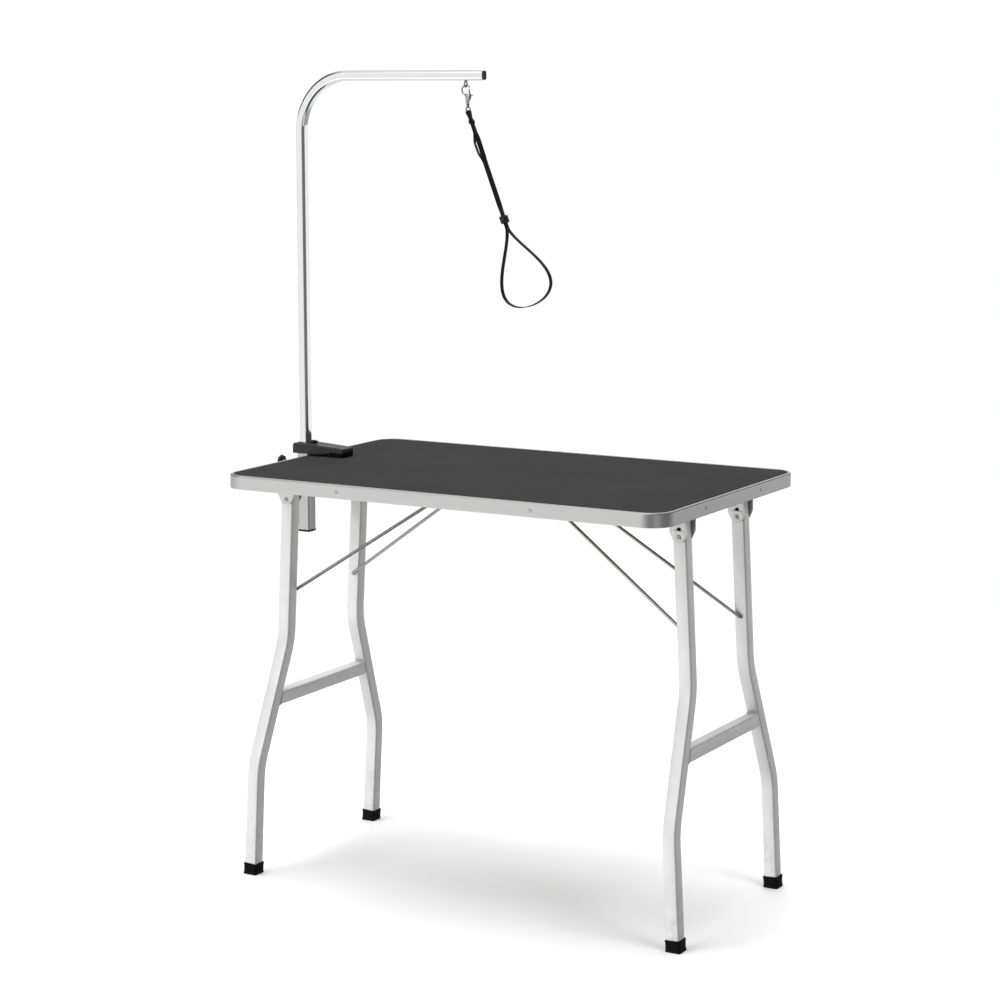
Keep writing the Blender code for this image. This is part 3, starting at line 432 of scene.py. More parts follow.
def make_board():
    """Bare particle board: pale chips pressed flat in a darker binder."""
    look = Shader("board_wood_look")
    pos = look.mapped()

    def chips(stretch, turn, scale, channel):
        # The product with (1, 1, 1) leaves the vector as it is.
        vector = look.node("ShaderNodeVectorMath",
                           {0: look.mapped(scale=stretch, turn=turn), 1: (1, 1, 1)},
                           operation="MULTIPLY").outputs[0]
        return look.channel(look.voronoi(vector, scale=scale, out="Color"), channel)

    small = chips(stretch=(1.0, 0.55, 1.0), turn=(0, 0, 0.5), scale=520.0, channel=0)
    large = chips(stretch=(0.5, 1.0, 1.0), turn=(0, 0, -0.8), scale=260.0, channel=1)
    tone = look.add(look.multiply(small, 0.55), look.multiply(large, 0.45))
    base = look.mix(look.span(tone, over=(0.15, 0.85)),
                    (0.17, 0.130, 0.092), (0.34, 0.275, 0.205))
    base = look.layer(base, (0.25, 0.20, 0.145), mask=look.cloud(pos, scale=30.0, detail=2.0),
                      strength=0.25)
    binder = look.cloud(pos, over=(0.62, 0.72), to=(0.0, 0.6), scale=900.0)
    base = look.mix(binder, base, (0.10, 0.06, 0.035))
    return look.set(Base_Color=base, Roughness=look.span(tone, over=(0.2, 0.8), to=(0.62, 0.78)),
                    Normal=look.bump(tone, distance=0.00012, strength=0.5),
                    Specular_IOR_Level=0.3)


def make_webbing():
    """Woven nylon tape.  U runs along the strap and V across it, both in metres."""
    look = Shader("nylon_webbing_look")
    uv = look.node("ShaderNodeSeparateXYZ", {0: look.coords.outputs["UV"]})
    along, across = uv.outputs[0], uv.outputs[1]
    pitch_along, pitch_across, slant = 0.0011, 0.00083, 0.55

    def wave(value, pitch):
        return look.math("SINE", look.multiply(value, 2 * math.pi / pitch))

    slanted = wave(look.add(along, look.multiply(across, slant)), pitch_along)
    ribs = wave(across, pitch_across)
    weave = look.span(look.multiply(slanted, ribs), over=(-1.0, 1.0))
    height = look.add(look.multiply(weave, 0.6),
                      look.multiply(look.span(ribs, over=(-1.0, 1.0)), 0.4))
    fibre = look.noise(look.mapped(scale=(900, 9000, 1), source="UV"), detail=2.0, rough=0.6)
    # Painted shade and highlight: the colour follows the weave's height, darker where the yarn dips
    # and lighter on its crowns.
    base = look.mix(height, grey(0.0025), (0.0085, 0.0085, 0.0100))
    base = look.layer(base, (0.022, 0.022, 0.025), mask=look.span(fibre, over=(0.5, 0.8)),
                      strength=0.30)
    bump = look.bump(height, distance=0.00022, strength=0.8)
    bump = look.bump(fibre, distance=0.00003, strength=0.4, normal=bump)
    return look.set(Base_Color=base, Normal=bump,
                    Roughness=look.span(height, over=(0.0, 1.0), to=(0.85, 0.55)),
                    Specular_IOR_Level=0.25, Sheen_Weight=0.05, Sheen_Roughness=0.4)


def make_thread():
    """Twisted sewing thread: colour bands that follow the twist, painted shade in its grooves and
    painted highlight on its crowns.
    """
    look = Shader("stitch_thread_look")
    ply = look.node("ShaderNodeTexWave",
                    {"Vector": look.mapped(), "Scale": 900.0, "Distortion": 1.5},
                    wave_type="BANDS", bands_direction="DIAGONAL").outputs[1]
    return look.set(Base_Color=look.mix(ply, grey(0.020), grey(0.075)), Roughness=0.6,
                    Normal=look.bump(ply, distance=0.00005, strength=0.6), Sheen_Weight=0.3)


SILVER = make_silver_paint()
TRIM_METAL = make_trim_metal()
ZINC = make_zinc()
CHROME = make_chrome()
NICKEL = make_plated("nickel_plate_look", tone=0.42, rough_range=(0.12, 0.20))
SLEEVE_PLATE = make_plated("sleeve_plate_look", tone=0.42, rough_range=(0.22, 0.26), mottle=0.25)
BRACE_PLATE = make_plated("brace_wire_look", tone=0.36, rough_range=(0.16, 0.26))
BLACK_METAL = make_black_coat()
BLACK_PLASTIC = make_black_plastic()
BLACK_RUBBER = make_black_rubber()
MAT_RUBBER = make_mat_rubber()
BOARD_WOOD = make_board()
NYLON = make_webbing()
THREAD = make_thread()


# ============================================================= mesh and object
def new_object(name, mesh, material=None):
    obj = bpy.data.objects.new(name, mesh)
    KIT.objects.link(obj)
    if material is not None:
        mesh.materials.append(material)
    return obj


def place(name, mesh, matrix, turn=0.0):
    """An object that shares a mesh, turned about its own Z."""
    obj = new_object(name, mesh)
    obj.matrix_world = matrix @ Matrix.Rotation(turn, 4, "Z")
    return obj


def take_mesh(obj):
    """Removes the object and keeps its mesh."""
    mesh = obj.data
    bpy.data.objects.remove(obj, do_unlink=True)
    return mesh


def shade(mesh, angle):
    mesh.shade_smooth()
    mesh.set_sharp_from_angle(angle=math.radians(angle))


def from_bmesh(name, bm, material, matrix=None, angle=32):
    bmesh.ops.recalc_face_normals(bm, faces=bm.faces)
    mesh = bpy.data.meshes.new(name)
    bm.to_mesh(mesh)
    bm.free()
    if matrix is not None:
        mesh.transform(matrix)
    shade(mesh, angle)
    return new_object(name, mesh, material)


def skin(bm, rings, closed=False):
    """Faces between successive rings; an open run of rings is capped at both ends."""
    rows = [[bm.verts.new(point) for point in ring] for ring in rings]
    count, sides = len(rows), len(rows[0])
    faces = []
    for i in range(count if closed else count - 1):
        a, b = rows[i], rows[(i + 1) % count]
        for j in range(sides):
            k = (j + 1) % sides
            faces.append(bm.faces.new((a[j], a[k], b[k], b[j])))
    if not closed:
        bm.faces.new(list(reversed(rows[0])))
        bm.faces.new(rows[-1])
    return faces


def rings_mesh(name, rings, material=None, matrix=None, angle=32, closed=False):
    bm = bmesh.new()
    skin(bm, rings, closed)
    bmesh.ops.remove_doubles(bm, verts=bm.verts, dist=1e-7)
    return from_bmesh(name, bm, material, matrix, angle)


def box(name, low, high, material=None, matrix=None, bevel=0.0, segments=3):
    bm = bmesh.new()
    bmesh.ops.create_cube(bm, size=1.0)
    low, high = Vector(low), Vector(high)
    bmesh.ops.scale(bm, vec=high - low, verts=bm.verts)
    bmesh.ops.translate(bm, vec=(low + high) / 2, verts=bm.verts)
    if bevel:
        bmesh.ops.bevel(bm, geom=list(bm.edges), offset=bevel, segments=segments,
                        profile=0.5, affect="EDGES", clamp_overlap=True)
    return from_bmesh(name, bm, material, matrix)


def hole(radius, low, high, matrix):
    """Round cutter along the matrix's Z."""
    bm = bmesh.new()
    bmesh.ops.create_cone(bm, cap_ends=True, segments=32, radius1=radius, radius2=radius,
                          depth=high - low)
    bmesh.ops.translate(bm, vec=(0, 0, (low + high) / 2), verts=bm.verts)
    return from_bmesh("hole", bm, None, matrix)


def turned(name, profile, material=None, matrix=None, segments=40, angle=32, swell=None):
    """Profile of (radius, height) turned about Z; swell(angle, radius) scales the radius."""
    bm = bmesh.new()
    rows = []
    for radius, z in profile:
        if radius < 1e-9:
            rows.append([bm.verts.new((0, 0, z))])
            continue
        row = []
        for i in range(segments):
            around = 2 * math.pi * i / segments
            reach = radius * (swell(around, radius) if swell else 1.0)
            row.append(bm.verts.new((reach * math.cos(around), reach * math.sin(around), z)))
        rows.append(row)
    for a, b in zip(rows, rows[1:]):
        for j in range(segments):
            k = (j + 1) % segments
            if len(a) == 1:
                bm.faces.new((a[0], b[k], b[j]))
            elif len(b) == 1:
                bm.faces.new((a[j], a[k], b[0]))
            else:
                bm.faces.new((a[j], a[k], b[k], b[j]))
    return from_bmesh(name, bm, material, matrix, angle)


def plate(name, loops, thick, material, matrix=None):
    """Flat outline (first loop outside, the others holes) with a thickness, centred on XY."""
    curve = bpy.data.curves.new(name + "_curve", "CURVE")
    curve.dimensions = "2D"
    for points in loops:
        spline = curve.splines.new("POLY")
        spline.points.add(len(points) - 1)
        for point, (x, y) in zip(spline.points, points):
            point.co = (x, y, 0.0, 1.0)
        spline.use_cyclic_u = True
    obj = bpy.data.objects.new(name + "_curve", curve)
    bpy.context.scene.collection.objects.link(obj)
    curve.fill_mode = "BOTH"
    curve.extrude = thick / 2
    depsgraph = bpy.context.evaluated_depsgraph_get()
    depsgraph.update()
    mesh = bpy.data.meshes.new_from_object(obj.evaluated_get(depsgraph))
    bpy.data.objects.remove(obj, do_unlink=True)
    bpy.data.curves.remove(curve)
    bm = bmesh.new()
    bm.from_mesh(mesh)
    bpy.data.meshes.remove(mesh)
    bmesh.ops.remove_doubles(bm, verts=bm.verts, dist=2e-6)
    return from_bmesh(name, bm, material, matrix)


def applied(obj):
    """Applies the object's modifiers and drops the old mesh."""
    depsgraph = bpy.context.evaluated_depsgraph_get()
    depsgraph.update()
    mesh = bpy.data.meshes.new_from_object(obj.evaluated_get(depsgraph))
    old = obj.data
    obj.modifiers.clear()
    obj.data = mesh
    mesh.name = obj.name
    bpy.data.meshes.remove(old)
    return obj


def boolean(obj, other, operation):
    """Combines the object with another, which is used up."""
    material = obj.data.materials[0]
    modifier = obj.modifiers.new(operation.lower(), "BOOLEAN")
    modifier.operation = operation
    modifier.solver = "EXACT"
    modifier.object = other
    applied(obj)
    bpy.data.meshes.remove(take_mesh(other))
    bm = bmesh.new()
    bm.from_mesh(obj.data)
    bmesh.ops.remove_doubles(bm, verts=bm.verts, dist=1e-6)
    bmesh.ops.dissolve_degenerate(bm, edges=bm.edges, dist=1e-6)
    bm.to_mesh(obj.data)
    bm.free()
    for face in obj.data.polygons:
        face.material_index = 0
    obj.data.materials.clear()
    obj.data.materials.append(material)
    shade(obj.data, angle=32)
    return obj


def cut(obj, cutter):
    return boolean(obj, cutter, "DIFFERENCE")


def join(obj, other):
    return boolean(obj, other, "UNION")


def soften(obj, width, segments=2, angle=30):
    """Rounds the hard edges, as pressing, casting or deburring leaves them."""
    bevel = obj.modifiers.new("bevel", "BEVEL")
    bevel.width = width
    bevel.segments = segments
    bevel.limit_method = "ANGLE"
    bevel.angle_limit = math.radians(angle)
    bevel.use_clamp_overlap = True
    bevel.miter_outer = "MITER_ARC"
    applied(obj)
    shade(obj.data, angle=40)
    obj.modifiers.new("weighted", "WEIGHTED_NORMAL").keep_sharp = True
    return applied(obj)


def merge(name, parts):
    """Joins several objects into one piece without cutting them into each other."""
    bm = bmesh.new()
    material = parts[0].data.materials[0]
    for part in parts:
        bm.from_mesh(part.data)
    for part in parts:
        bpy.data.meshes.remove(take_mesh(part))
    mesh = bpy.data.meshes.new(name)
    bm.to_mesh(mesh)
    bm.free()
    shade(mesh, angle=35)
    return new_object(name, mesh, material)


def rider(obj, body):
    """The piece rides on a body without standing for a node."""
    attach(obj, body)


def stand(obj, node):
    """The piece rides on the node's body and stands for the node."""
    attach(obj, BODY_OF[node])
    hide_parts(node)


# ============================================================ outlines and paths
def rounded_rect(half_x, half_y, radius, steps=6):
    points = []
    for sign_x, sign_y, start in ((1, 1, 0), (-1, 1, 90), (-1, -1, 180), (1, -1, 270)):
        for i in range(steps + 1):
            angle = math.radians(start + 90 * i / steps)
            points.append((sign_x * (half_x - radius) + radius * math.cos(angle),
                           sign_y * (half_y - radius) + radius * math.sin(angle)))
    return points


def square(half, radius, steps=6):
    return rounded_rect(half, half, radius, steps)


def circle(radius, count=32, x=0.0, y=0.0):
    return [(x + radius * math.cos(2 * math.pi * i / count),
             y + radius * math.sin(2 * math.pi * i / count)) for i in range(count)]


def fillet_path(points, radius, steps):
    """Path through the points with every inner corner rounded; one radius or one per corner."""
    points = [Vector(point) for point in points]
    radii = radius if isinstance(radius, list) else [radius] * (len(points) - 2)
    path = [points[0]]
    for before, corner, after, r in zip(points, points[1:], points[2:], radii):
        u, v = (before - corner).normalized(), (after - corner).normalized()
        half = u.angle(v) / 2
        tangent = r / math.tan(half)
        centre = corner + (u + v).normalized() * (r / math.sin(half))
        start, end = corner + u * tangent - centre, corner + v * tangent - centre
        total = start.angle(end)
        for i in range(steps + 1):
            w = i / steps
            arm = (start * math.sin((1 - w) * total) + end * math.sin(w * total)) / math.sin(total)
            path.append(centre + arm)
    path.append(points[-1])
    return path


def frame_matrix(origin, x_axis, y_axis, z_axis):
    matrix = Matrix((x_axis, y_axis, z_axis)).transposed().to_4x4()
    matrix.translation = Vector(origin)
    return matrix


def along_y(x, y, z):
    return frame_matrix((x, y, z), (1, 0, 0), (0, 0, -1), (0, 1, 0))


def along_x(x, y, z):
    return frame_matrix((x, y, z), (0, 1, 0), (0, 0, 1), (1, 0, 0))


def direction(path, i):
    return (path[min(i + 1, len(path) - 1)] - path[max(i - 1, 0)]).normalized()


def planar_rings(path, section):
    """Section points (across the path, out of its plane) carried along a path in XY."""
    rings = []
    for i, point in enumerate(path):
        ahead = direction(path, i)
        side = Vector((-ahead.y, ahead.x, 0))
        rings.append([point + side * u + Vector((0, 0, w)) for u, w in section])
    return rings


def hollow(name, path, side, wall, radius, material, matrix, steps=5):
    """Square tube with rounded corners and an open bore along a path in XY."""
    outer = planar_rings(path, square(side / 2, radius, steps))
    inner = planar_rings(path, square(side / 2 - wall, max(radius - wall, 0.0006), steps))
    return rings_mesh(name, outer + inner[::-1], material, matrix, angle=30, closed=True)


def round_ring(centre, across, up, radius, sides):
    return [centre + across * radius * math.cos(2 * math.pi * k / sides)
            + up * radius * math.sin(2 * math.pi * k / sides) for k in range(sides)]


def wire_rings(path, radii, sides):
    """Round rings along a path in space, without twist."""
    rings = []
    across = direction(path, 0).orthogonal().normalized()
    for i, point in enumerate(path):
        ahead = direction(path, i)
        across = (across - ahead * across.dot(ahead)).normalized()
        rings.append(round_ring(point, across, ahead.cross(across), radii[i], sides))
    return rings


def wire_loop(name, path, radius, material, matrix, sides):
    """Round wire along a flat closed path."""
    count = len(path)
    normal = (path[count // 4] - path[0]).cross(path[count // 2] - path[0]).normalized()
    rings = []
    for i, point in enumerate(path):
        ahead = (path[(i + 1) % count] - path[i - 1]).normalized()
        rings.append(round_ring(point, ahead.cross(normal).normalized(), normal, radius, sides))
    return rings_mesh(name, rings, material, matrix, closed=True)


def rounded_ends(path, radius):
    """Path and radii of a wire whose ends are domes inside the given length."""
    steps = 5
    first, last = (path[1] - path[0]).normalized(), (path[-1] - path[-2]).normalized()
    angles = [math.pi / 2 * i / steps for i in range(steps)]
    insets = [radius * (1 - math.cos(a)) for a in angles] + [radius]
    dome = [max(radius * math.sin(a), radius * 0.05) for a in angles] + [radius]
    points = [path[0] + first * inset for inset in insets] + path[1:-1]
    points += [path[-1] - last * inset for inset in reversed(insets)]
    return points, dome + [radius] * (len(path) - 2) + dome[::-1]


def threaded(name, radius, pitch, low, high, matrix, segments):
    """Zinc screw thread along Z, with a chamfered point at both ends."""
    depth = 0.55 * pitch
    tip = 0.0006
    steps = int(round((high - low) / pitch * 6))
    rings = []
    for i in range(steps + 1):
        z = low + (high - low) * i / steps
        chamfer = min(1.0, min(z - low, high - z) / tip)
        row = []
        for k in range(segments):
            angle = 2 * math.pi * k / segments
            phase = (z / pitch - k / segments) % 1.0
            groove = min(1.0, max(0.0, (abs(phase - 0.5) * 2 - 0.15) / 0.7))
            r = radius - depth * groove - (1 - chamfer) * depth
            row.append((r * math.cos(angle), r * math.sin(angle), z))
        rings.append(row)
    return rings_mesh(name, rings, ZINC, matrix, angle=60)


def weld_bead(name, body, loop, outward, seed, radius, material, matrix=None):
    """A small rippled bead laid along a closed loop of points."""
    step = 0.0007
    path = []
    for i, start in enumerate(loop):
        end = loop[(i + 1) % len(loop)]
        steps = max(1, int((end - start).length / step))
        path += [start.lerp(end, k / steps) for k in range(steps)]
    rings = []
    run = 0.0
    for i, point in enumerate(path):
        ahead = (path[(i + 1) % len(path)] - path[i - 1]).normalized()
        run += (point - path[i - 1]).length if i else 0
        side = ahead.cross(outward).normalized()
        ripple = (1 + 0.16 * math.sin(run / 0.0016 * math.pi) + 0.08 * math.sin(run * 700 + seed)
                  + 0.06 * math.sin(run * 263 + 2 * seed))
        rings.append(round_ring(point, side, side.cross(ahead).normalized(), radius * ripple, 8))
    rider(rings_mesh(name, rings, material, matrix, angle=80, closed=True), body)


# ====================================================================== screws
def screw_head_mesh(name, radius, height, flat, shank, shank_radius, recess=0.55):
    """Pan head with a cross recess; the underside of the head is at z = 0."""
    profile = [(0, -shank), (shank_radius * 0.5, -shank),
               (shank_radius, -shank + shank_radius * 0.6), (shank_radius, 0.0),
               (radius * 0.97, 0.0), (radius, height * 0.08)]
    for i in range(7):
        angle = math.radians(90 * i / 6)
        profile.append((radius * (flat + (1 - flat) * math.cos(angle)),
                        height * (0.15 + 0.85 * math.sin(angle))))
    profile.append((0, height))
    head = turned(name, profile, ZINC, segments=40, angle=30)
    # tapered cross that cuts the drive recess
    r = radius * recess
    w = r * 0.30
    cross = [(w, w), (w, r), (-w, r), (-w, w), (-r, w), (-r, -w), (-w, -w), (-w, -r),
             (w, -r), (w, -w), (r, -w), (r, w)]
    low = [(x * 0.45, y * 0.45, height - height * 0.75) for x, y in cross]
    high = [(x, y, height + 0.0004) for x, y in cross]
    return take_mesh(cut(head, rings_mesh("recess", [low, high])))


def screw_from_below(name, mesh, at, turn):
    flip = Matrix.Rotation(math.pi, 4, "X")
    rider(place(name, mesh, Matrix.Translation(at) @ flip, turn), "table")


# ==================================================================== tabletop
def trim_profile():
    """(inset from the outer face, height) round the extrusion: top bead, web, lower lip."""
    profile = [(0.0080, -0.0241), (0.00795, -0.0247), (0.0077, -0.0250), (0.0045, -0.0250)]
    for i in range(5):
        angle = math.radians(270 - 90 * i / 4)
        profile.append((0.0006 + 0.0006 * math.cos(angle), -0.0244 + 0.0006 * math.sin(angle)))
    profile += [(0.0, z) for z in (-0.0228, -0.0225, -0.0150, -0.0080, -0.0036, -0.0030)]
    for i in range(11):
        angle = math.radians(180 - 90 * i / 10)
        profile.append((0.0030 + 0.0030 * math.cos(angle), -0.0025 + 0.0032 * math.sin(angle)))
    return profile + [
        (0.0046, 0.00068), (0.0052, 0.00055), (0.00555, 0.00028), (0.0057, -0.0001),
        (0.0056, -0.00045), (0.0052, -0.0005), (0.0030, -0.0005), (TRIM_WALL, -0.0007),
        (TRIM_WALL, -0.0236), (0.0018, -0.0238), (0.0076, -0.0238)]


def make_edge_trim():
    """Extrusion round the table, with its butt seam in the back edge."""
    profile = trim_profile()
    seam_x, seam_half_gap, steps = 0.1500, 0.0002, 30
    x, y = HALF_LENGTH - CORNER_R, HALF_WIDTH - CORNER_R

    def ring(centre_x, centre_y, degrees):
        angle = math.radians(degrees)
        return [(centre_x + (CORNER_R - inset) * math.cos(angle),
                 centre_y + (CORNER_R - inset) * math.sin(angle), z) for inset, z in profile]

    rings = [ring(seam_x - seam_half_gap, y, 90)]
    for sign_x, sign_y, start in ((-1, 1, 90), (-1, -1, 180), (1, -1, 270), (1, 1, 0)):
        rings += [ring(sign_x * x, sign_y * y, start + 90 * i / steps) for i in range(steps + 1)]
    rings.append(ring(seam_x + seam_half_gap, y, 90))
    stand(rings_mesh("edge_trim_profile", rings, TRIM_METAL, angle=28), "edge_trim")


def make_mat():
    inset = 0.0060
    sheet = plate("rubber_mat_sheet",
                  [rounded_rect(HALF_LENGTH - inset, HALF_WIDTH - inset, CORNER_R - inset, 24)],
                  MAT_THICK - 0.0001, MAT_RUBBER,
                  Matrix.Translation((0, 0, -MAT_THICK / 2 - 0.00005)))
    stand(soften(sheet, 0.0005), "rubber_mat")


def make_tabletop_board():
    inset = 0.0020
    stand(plate("tabletop_board_core",
                [rounded_rect(HALF_LENGTH - inset, HALF_WIDTH - inset, CORNER_R - inset, 20)],
                BOARD_TOP - BOARD_BOTTOM, BOARD_WOOD,
                Matrix.Translation((0, 0, (BOARD_TOP + BOARD_BOTTOM) / 2))), "tabletop_board")


TRIM_SCREWS = [  # name, place, direction the head faces
    ("front_left", (-TRIM_SCREW_X, -HALF_WIDTH), (0, -1)),
    ("front_right", (TRIM_SCREW_X, -HALF_WIDTH), (0, -1)),
    ("back_left", (-TRIM_SCREW_X, HALF_WIDTH), (0, 1)),
    ("back_right", (TRIM_SCREW_X, HALF_WIDTH), (0, 1)),
    ("right_front", (HALF_LENGTH, -TRIM_SCREW_Y), (1, 0)),
    ("right_back", (HALF_LENGTH, TRIM_SCREW_Y), (1, 0)),
    ("left_front", (-HALF_LENGTH, -TRIM_SCREW_Y), (-1, 0)),
    ("left_back", (-HALF_LENGTH, TRIM_SCREW_Y), (-1, 0))]


def make_trim_screws(mesh):
    sunk = 0.0002
    for i, (where, at, facing) in enumerate(TRIM_SCREWS):
        z_axis = Vector((*facing, 0))
        matrix = frame_matrix((*at, TRIM_SCREW_Z), z_axis.cross(Vector((0, 0, -1))), (0, 0, 1),
                              z_axis)
        node = f"trim_screw_{where}"
        stand(place(node + "_head", mesh, matrix @ Matrix.Translation((0, 0, -sunk)),
                    turn=0.4 + 0.9 * i), node)


make_edge_trim()
make_mat()
make_tabletop_board()
TRIM_SCREW = screw_head_mesh("trim_screw_shape", radius=0.0034, height=0.0011, flat=0.45,
                             shank=0.0146, shank_radius=0.0017, recess=0.45)
PAN_SCREW = screw_head_mesh("pan_screw_shape", radius=0.0041, height=0.0021, flat=0.30,
                            shank=0.0060, shank_radius=0.0019)
SMALL_SCREW = screw_head_mesh("small_screw_shape", radius=0.0032, height=0.0017, flat=0.30,
                              shank=0.0060, shank_radius=0.0015)
make_trim_screws(TRIM_SCREW)


# ================================================================== leg frames
# "end" is -1 at the left of the table and 1 at the right; "side" is -1 at the front, 1 at the back.
LEG_SLANT = math.atan((LEG_Y_FOOT - LEG_Y_TOP) / (BEND_2 - BEND_1))


def leg_centre_y(down):
    """Distance of a leg's centre line from the middle, on its slanted run."""
    return LEG_Y_TOP + (down - BEND_1) * (LEG_Y_FOOT - LEG_Y_TOP) / (BEND_2 - BEND_1)


def leg_down(end):
    return Vector((end * math.sin(SPLAY), 0, -math.cos(SPLAY)))


def leg_plane(end, side):
    """Frame of a leg: X down the leg from the pivot, Y outwards."""
    down, out = leg_down(end), Vector((0, side, 0))
    return frame_matrix((end * PIVOT_X, 0, PIVOT_Z), down, out, down.cross(out))


def across_leg(end, down, y):
    """Frame with its Z along the table's Y, at a place on the leg."""
    axis, back = leg_down(end), Vector((0, 1, 0))
    origin = Vector((end * PIVOT_X, y, PIVOT_Z)) + axis * down
    return frame_matrix(origin, axis, back.cross(axis), back)


def make_leg(name, end, side):
    corners = [(LEG_TOP, LEG_Y_TOP, 0), (BEND_1, LEG_Y_TOP, 0), (BEND_2, LEG_Y_FOOT, 0),
               (LEG_END, LEG_Y_FOOT, 0)]
    leg = hollow(name + "_bent", fillet_path(corners, BEND_R, 18), TUBE, TUBE_WALL, TUBE_R,
                 SILVER, leg_plane(end, side))
    y = side * LEG_Y_TOP
    cut(leg, hole(0.0034, -0.02, 0.02, across_leg(end, 0.0, y)))
    cut(leg, hole(0.0032, -0.02, 0.02, across_leg(end, -0.0150, y)))
    cut(leg, hole(BRACE_D / 2 + GAP, -0.006, 0.006, across_leg(end, BRACE_DOWN, y - side * 0.010)))
    stand(leg, name)


def make_crossbar(name, end, body):
    """Tube between the legs of one end, with a weld bead at each leg."""
    matrix = leg_plane(end, 1)
    reach = (TUBE / 2 + GAP) / math.cos(LEG_SLANT)

    def end_loop(sign, half, radius, shift=0.0):
        return [Vector((CROSSBAR_DOWN + a, sign * (leg_centre_y(CROSSBAR_DOWN + a) - reach + shift),
                        b)) for a, b in square(half, radius, 5)]

    outer = (TUBE / 2, TUBE_R)
    inner = (TUBE / 2 - TUBE_WALL, TUBE_R - TUBE_WALL)
    rings = [end_loop(-1, *outer), end_loop(1, *outer), end_loop(1, *inner), end_loop(-1, *inner)]
    stand(rings_mesh(name + "_tube", rings, SILVER, matrix, angle=30, closed=True), name)
    for sign, where in ((-1, "front"), (1, "back")):
        loop = end_loop(sign, TUBE / 2 - 0.0001, TUBE_R, shift=0.0001)
        weld_bead(f"weld_{name}_{where}", body, loop, Vector((0, sign, 0)), seed=end + sign * 2.0,
                  radius=0.0014, material=SILVER, matrix=matrix)


def make_foot(name, end, side):
    """Push-on rubber foot: flared sole, three grip grooves and a lip at the top."""
    matrix = leg_plane(end, side)
    half = FOOT_CAP_SIDE / 2 + 0.0008
    profile = [  # distance down the leg, half width
        (FOOT_CAP_TOP, half - 0.0007), (FOOT_CAP_TOP + 0.0006, half - 0.0001),
        (FOOT_CAP_TOP + 0.0034, half), (FOOT_CAP_TOP + 0.0040, half - 0.0005)]
    for i in range(3):
        groove = 0.7080 + 0.0030 * i
        profile += [(groove - 0.0007, half - 0.0005), (groove - 0.0004, half - 0.0010),
                    (groove + 0.0004, half - 0.0010), (groove + 0.0007, half - 0.0005)]
    profile += [(0.7165, half - 0.0004), (0.7180, half), (0.7350, half)]
    rings = [[Vector((down, LEG_Y_FOOT + a, b)) for a, b in square(width, 0.0034, 5)]
             for down, width in profile]
    foot = rings_mesh(name + "_boot", rings, BLACK_RUBBER, matrix, angle=40)
    cut(foot, box("floor", (-1, -1, -FLOOR - 0.2), (1, 1, -FLOOR + 0.00002)))
    pocket = TUBE / 2 + GAP
    cut(foot, box("pocket", (FOOT_CAP_TOP - 0.01, LEG_Y_FOOT - pocket, -pocket),
                  (LEG_END + GAP, LEG_Y_FOOT + pocket, pocket), matrix=matrix))
    stand(foot, name)


def cheek_outline(top):
    """Cheek about the pivot: parallel sides, tapering below the knee to a blunt rounded foot."""
    half, knee, half_foot, foot = 0.0180, 0.0100, 0.0100, -0.0075
    steps = 10
    corners = [(half, top), (half, knee), (half_foot, foot), (-half_foot, foot), (-half, knee),
               (-half, top)]
    radii = (0.0040, 0.0055, 0.0055, 0.0040)
    points = [corners[0]]
    for before, corner, after, radius in zip(corners, corners[1:], corners[2:], radii):
        u = (before[0] - corner[0], before[1] - corner[1])
        v = (after[0] - corner[0], after[1] - corner[1])
        u = (u[0] / math.hypot(*u), u[1] / math.hypot(*u))
        v = (v[0] / math.hypot(*v), v[1] / math.hypot(*v))
        turn = math.acos(u[0] * v[0] + u[1] * v[1])
        tangent = radius / math.tan(turn / 2)
        middle = (u[0] + v[0], u[1] + v[1])
        k = radius / math.sin(turn / 2) / math.hypot(*middle)
        x, y = corner[0] + middle[0] * k, corner[1] + middle[1] * k
        start = math.atan2(corner[1] + u[1] * tangent - y, corner[0] + u[0] * tangent - x)
        end = math.atan2(corner[1] + v[1] * tangent - y, corner[0] + v[0] * tangent - x)
        sweep = (end - start + math.pi) % (2 * math.pi) - math.pi
        for i in range(steps + 1):
            angle = start + sweep * i / steps
            points.append((x + radius * math.cos(angle), y + radius * math.sin(angle)))
    points.append(corners[-1])
    return points


def bracket_mesh(end):
    """Pressed bracket about its pivot, for one end of the table."""
    top = BOARD_BOTTOM - GAP - PIVOT_Z
    base = plate("bracket", [rounded_rect(0.0150, 0.0270, 0.0050, 10),
                             circle(0.0024, 24, y=BRACKET_SCREW_Y),
                             circle(0.0024, 24, y=-BRACKET_SCREW_Y)], BRACKET_THICK, ZINC,
                 Matrix.Translation((0, 0, top - BRACKET_THICK / 2)))
    soften(base, 0.00035)
    outline = cheek_outline(top - 0.0006)
    slot = [(x + end * 0.0008, z + 0.0150) for x, z in rounded_rect(0.0046, 0.0030, 0.0030, 8)]
    for sign in (-1, 1):
        matrix = frame_matrix((0, sign * (BRACKET_GAP + BRACKET_THICK / 2), 0),
                              (1, 0, 0), (0, 0, 1), (0, -1, 0))
        cheek = plate("cheek", [outline, slot, circle(RIVET_D / 2 + GAP, 28)], BRACKET_THICK,
                      ZINC, matrix)
        join(base, soften(cheek, 0.0003))
        # bend radius between the cheek and the base
        y, z = sign * (BRACKET_GAP + BRACKET_THICK - 0.0002), top - BRACKET_THICK + 0.0002
        r = 0.0020
        arc = [(y, z)]
        for i in range(10):
            angle = math.radians(10 * i)
            arc.append((y + sign * (r - r * math.sin(angle)), z - (r - r * math.cos(angle))))
        join(base, rings_mesh("bend", [[(x, a, b) for a, b in arc] for x in (-0.0146, 0.0146)],
                              ZINC))
    low_x, high_x = sorted((-end * 0.0148, -end * 0.0166))
    join(base, box("web", (low_x, -BRACKET_GAP - 0.001, 0.0250),
                   (high_x, BRACKET_GAP + 0.001, top - 0.0005), ZINC, bevel=0.0003, segments=1))
    return take_mesh(base)


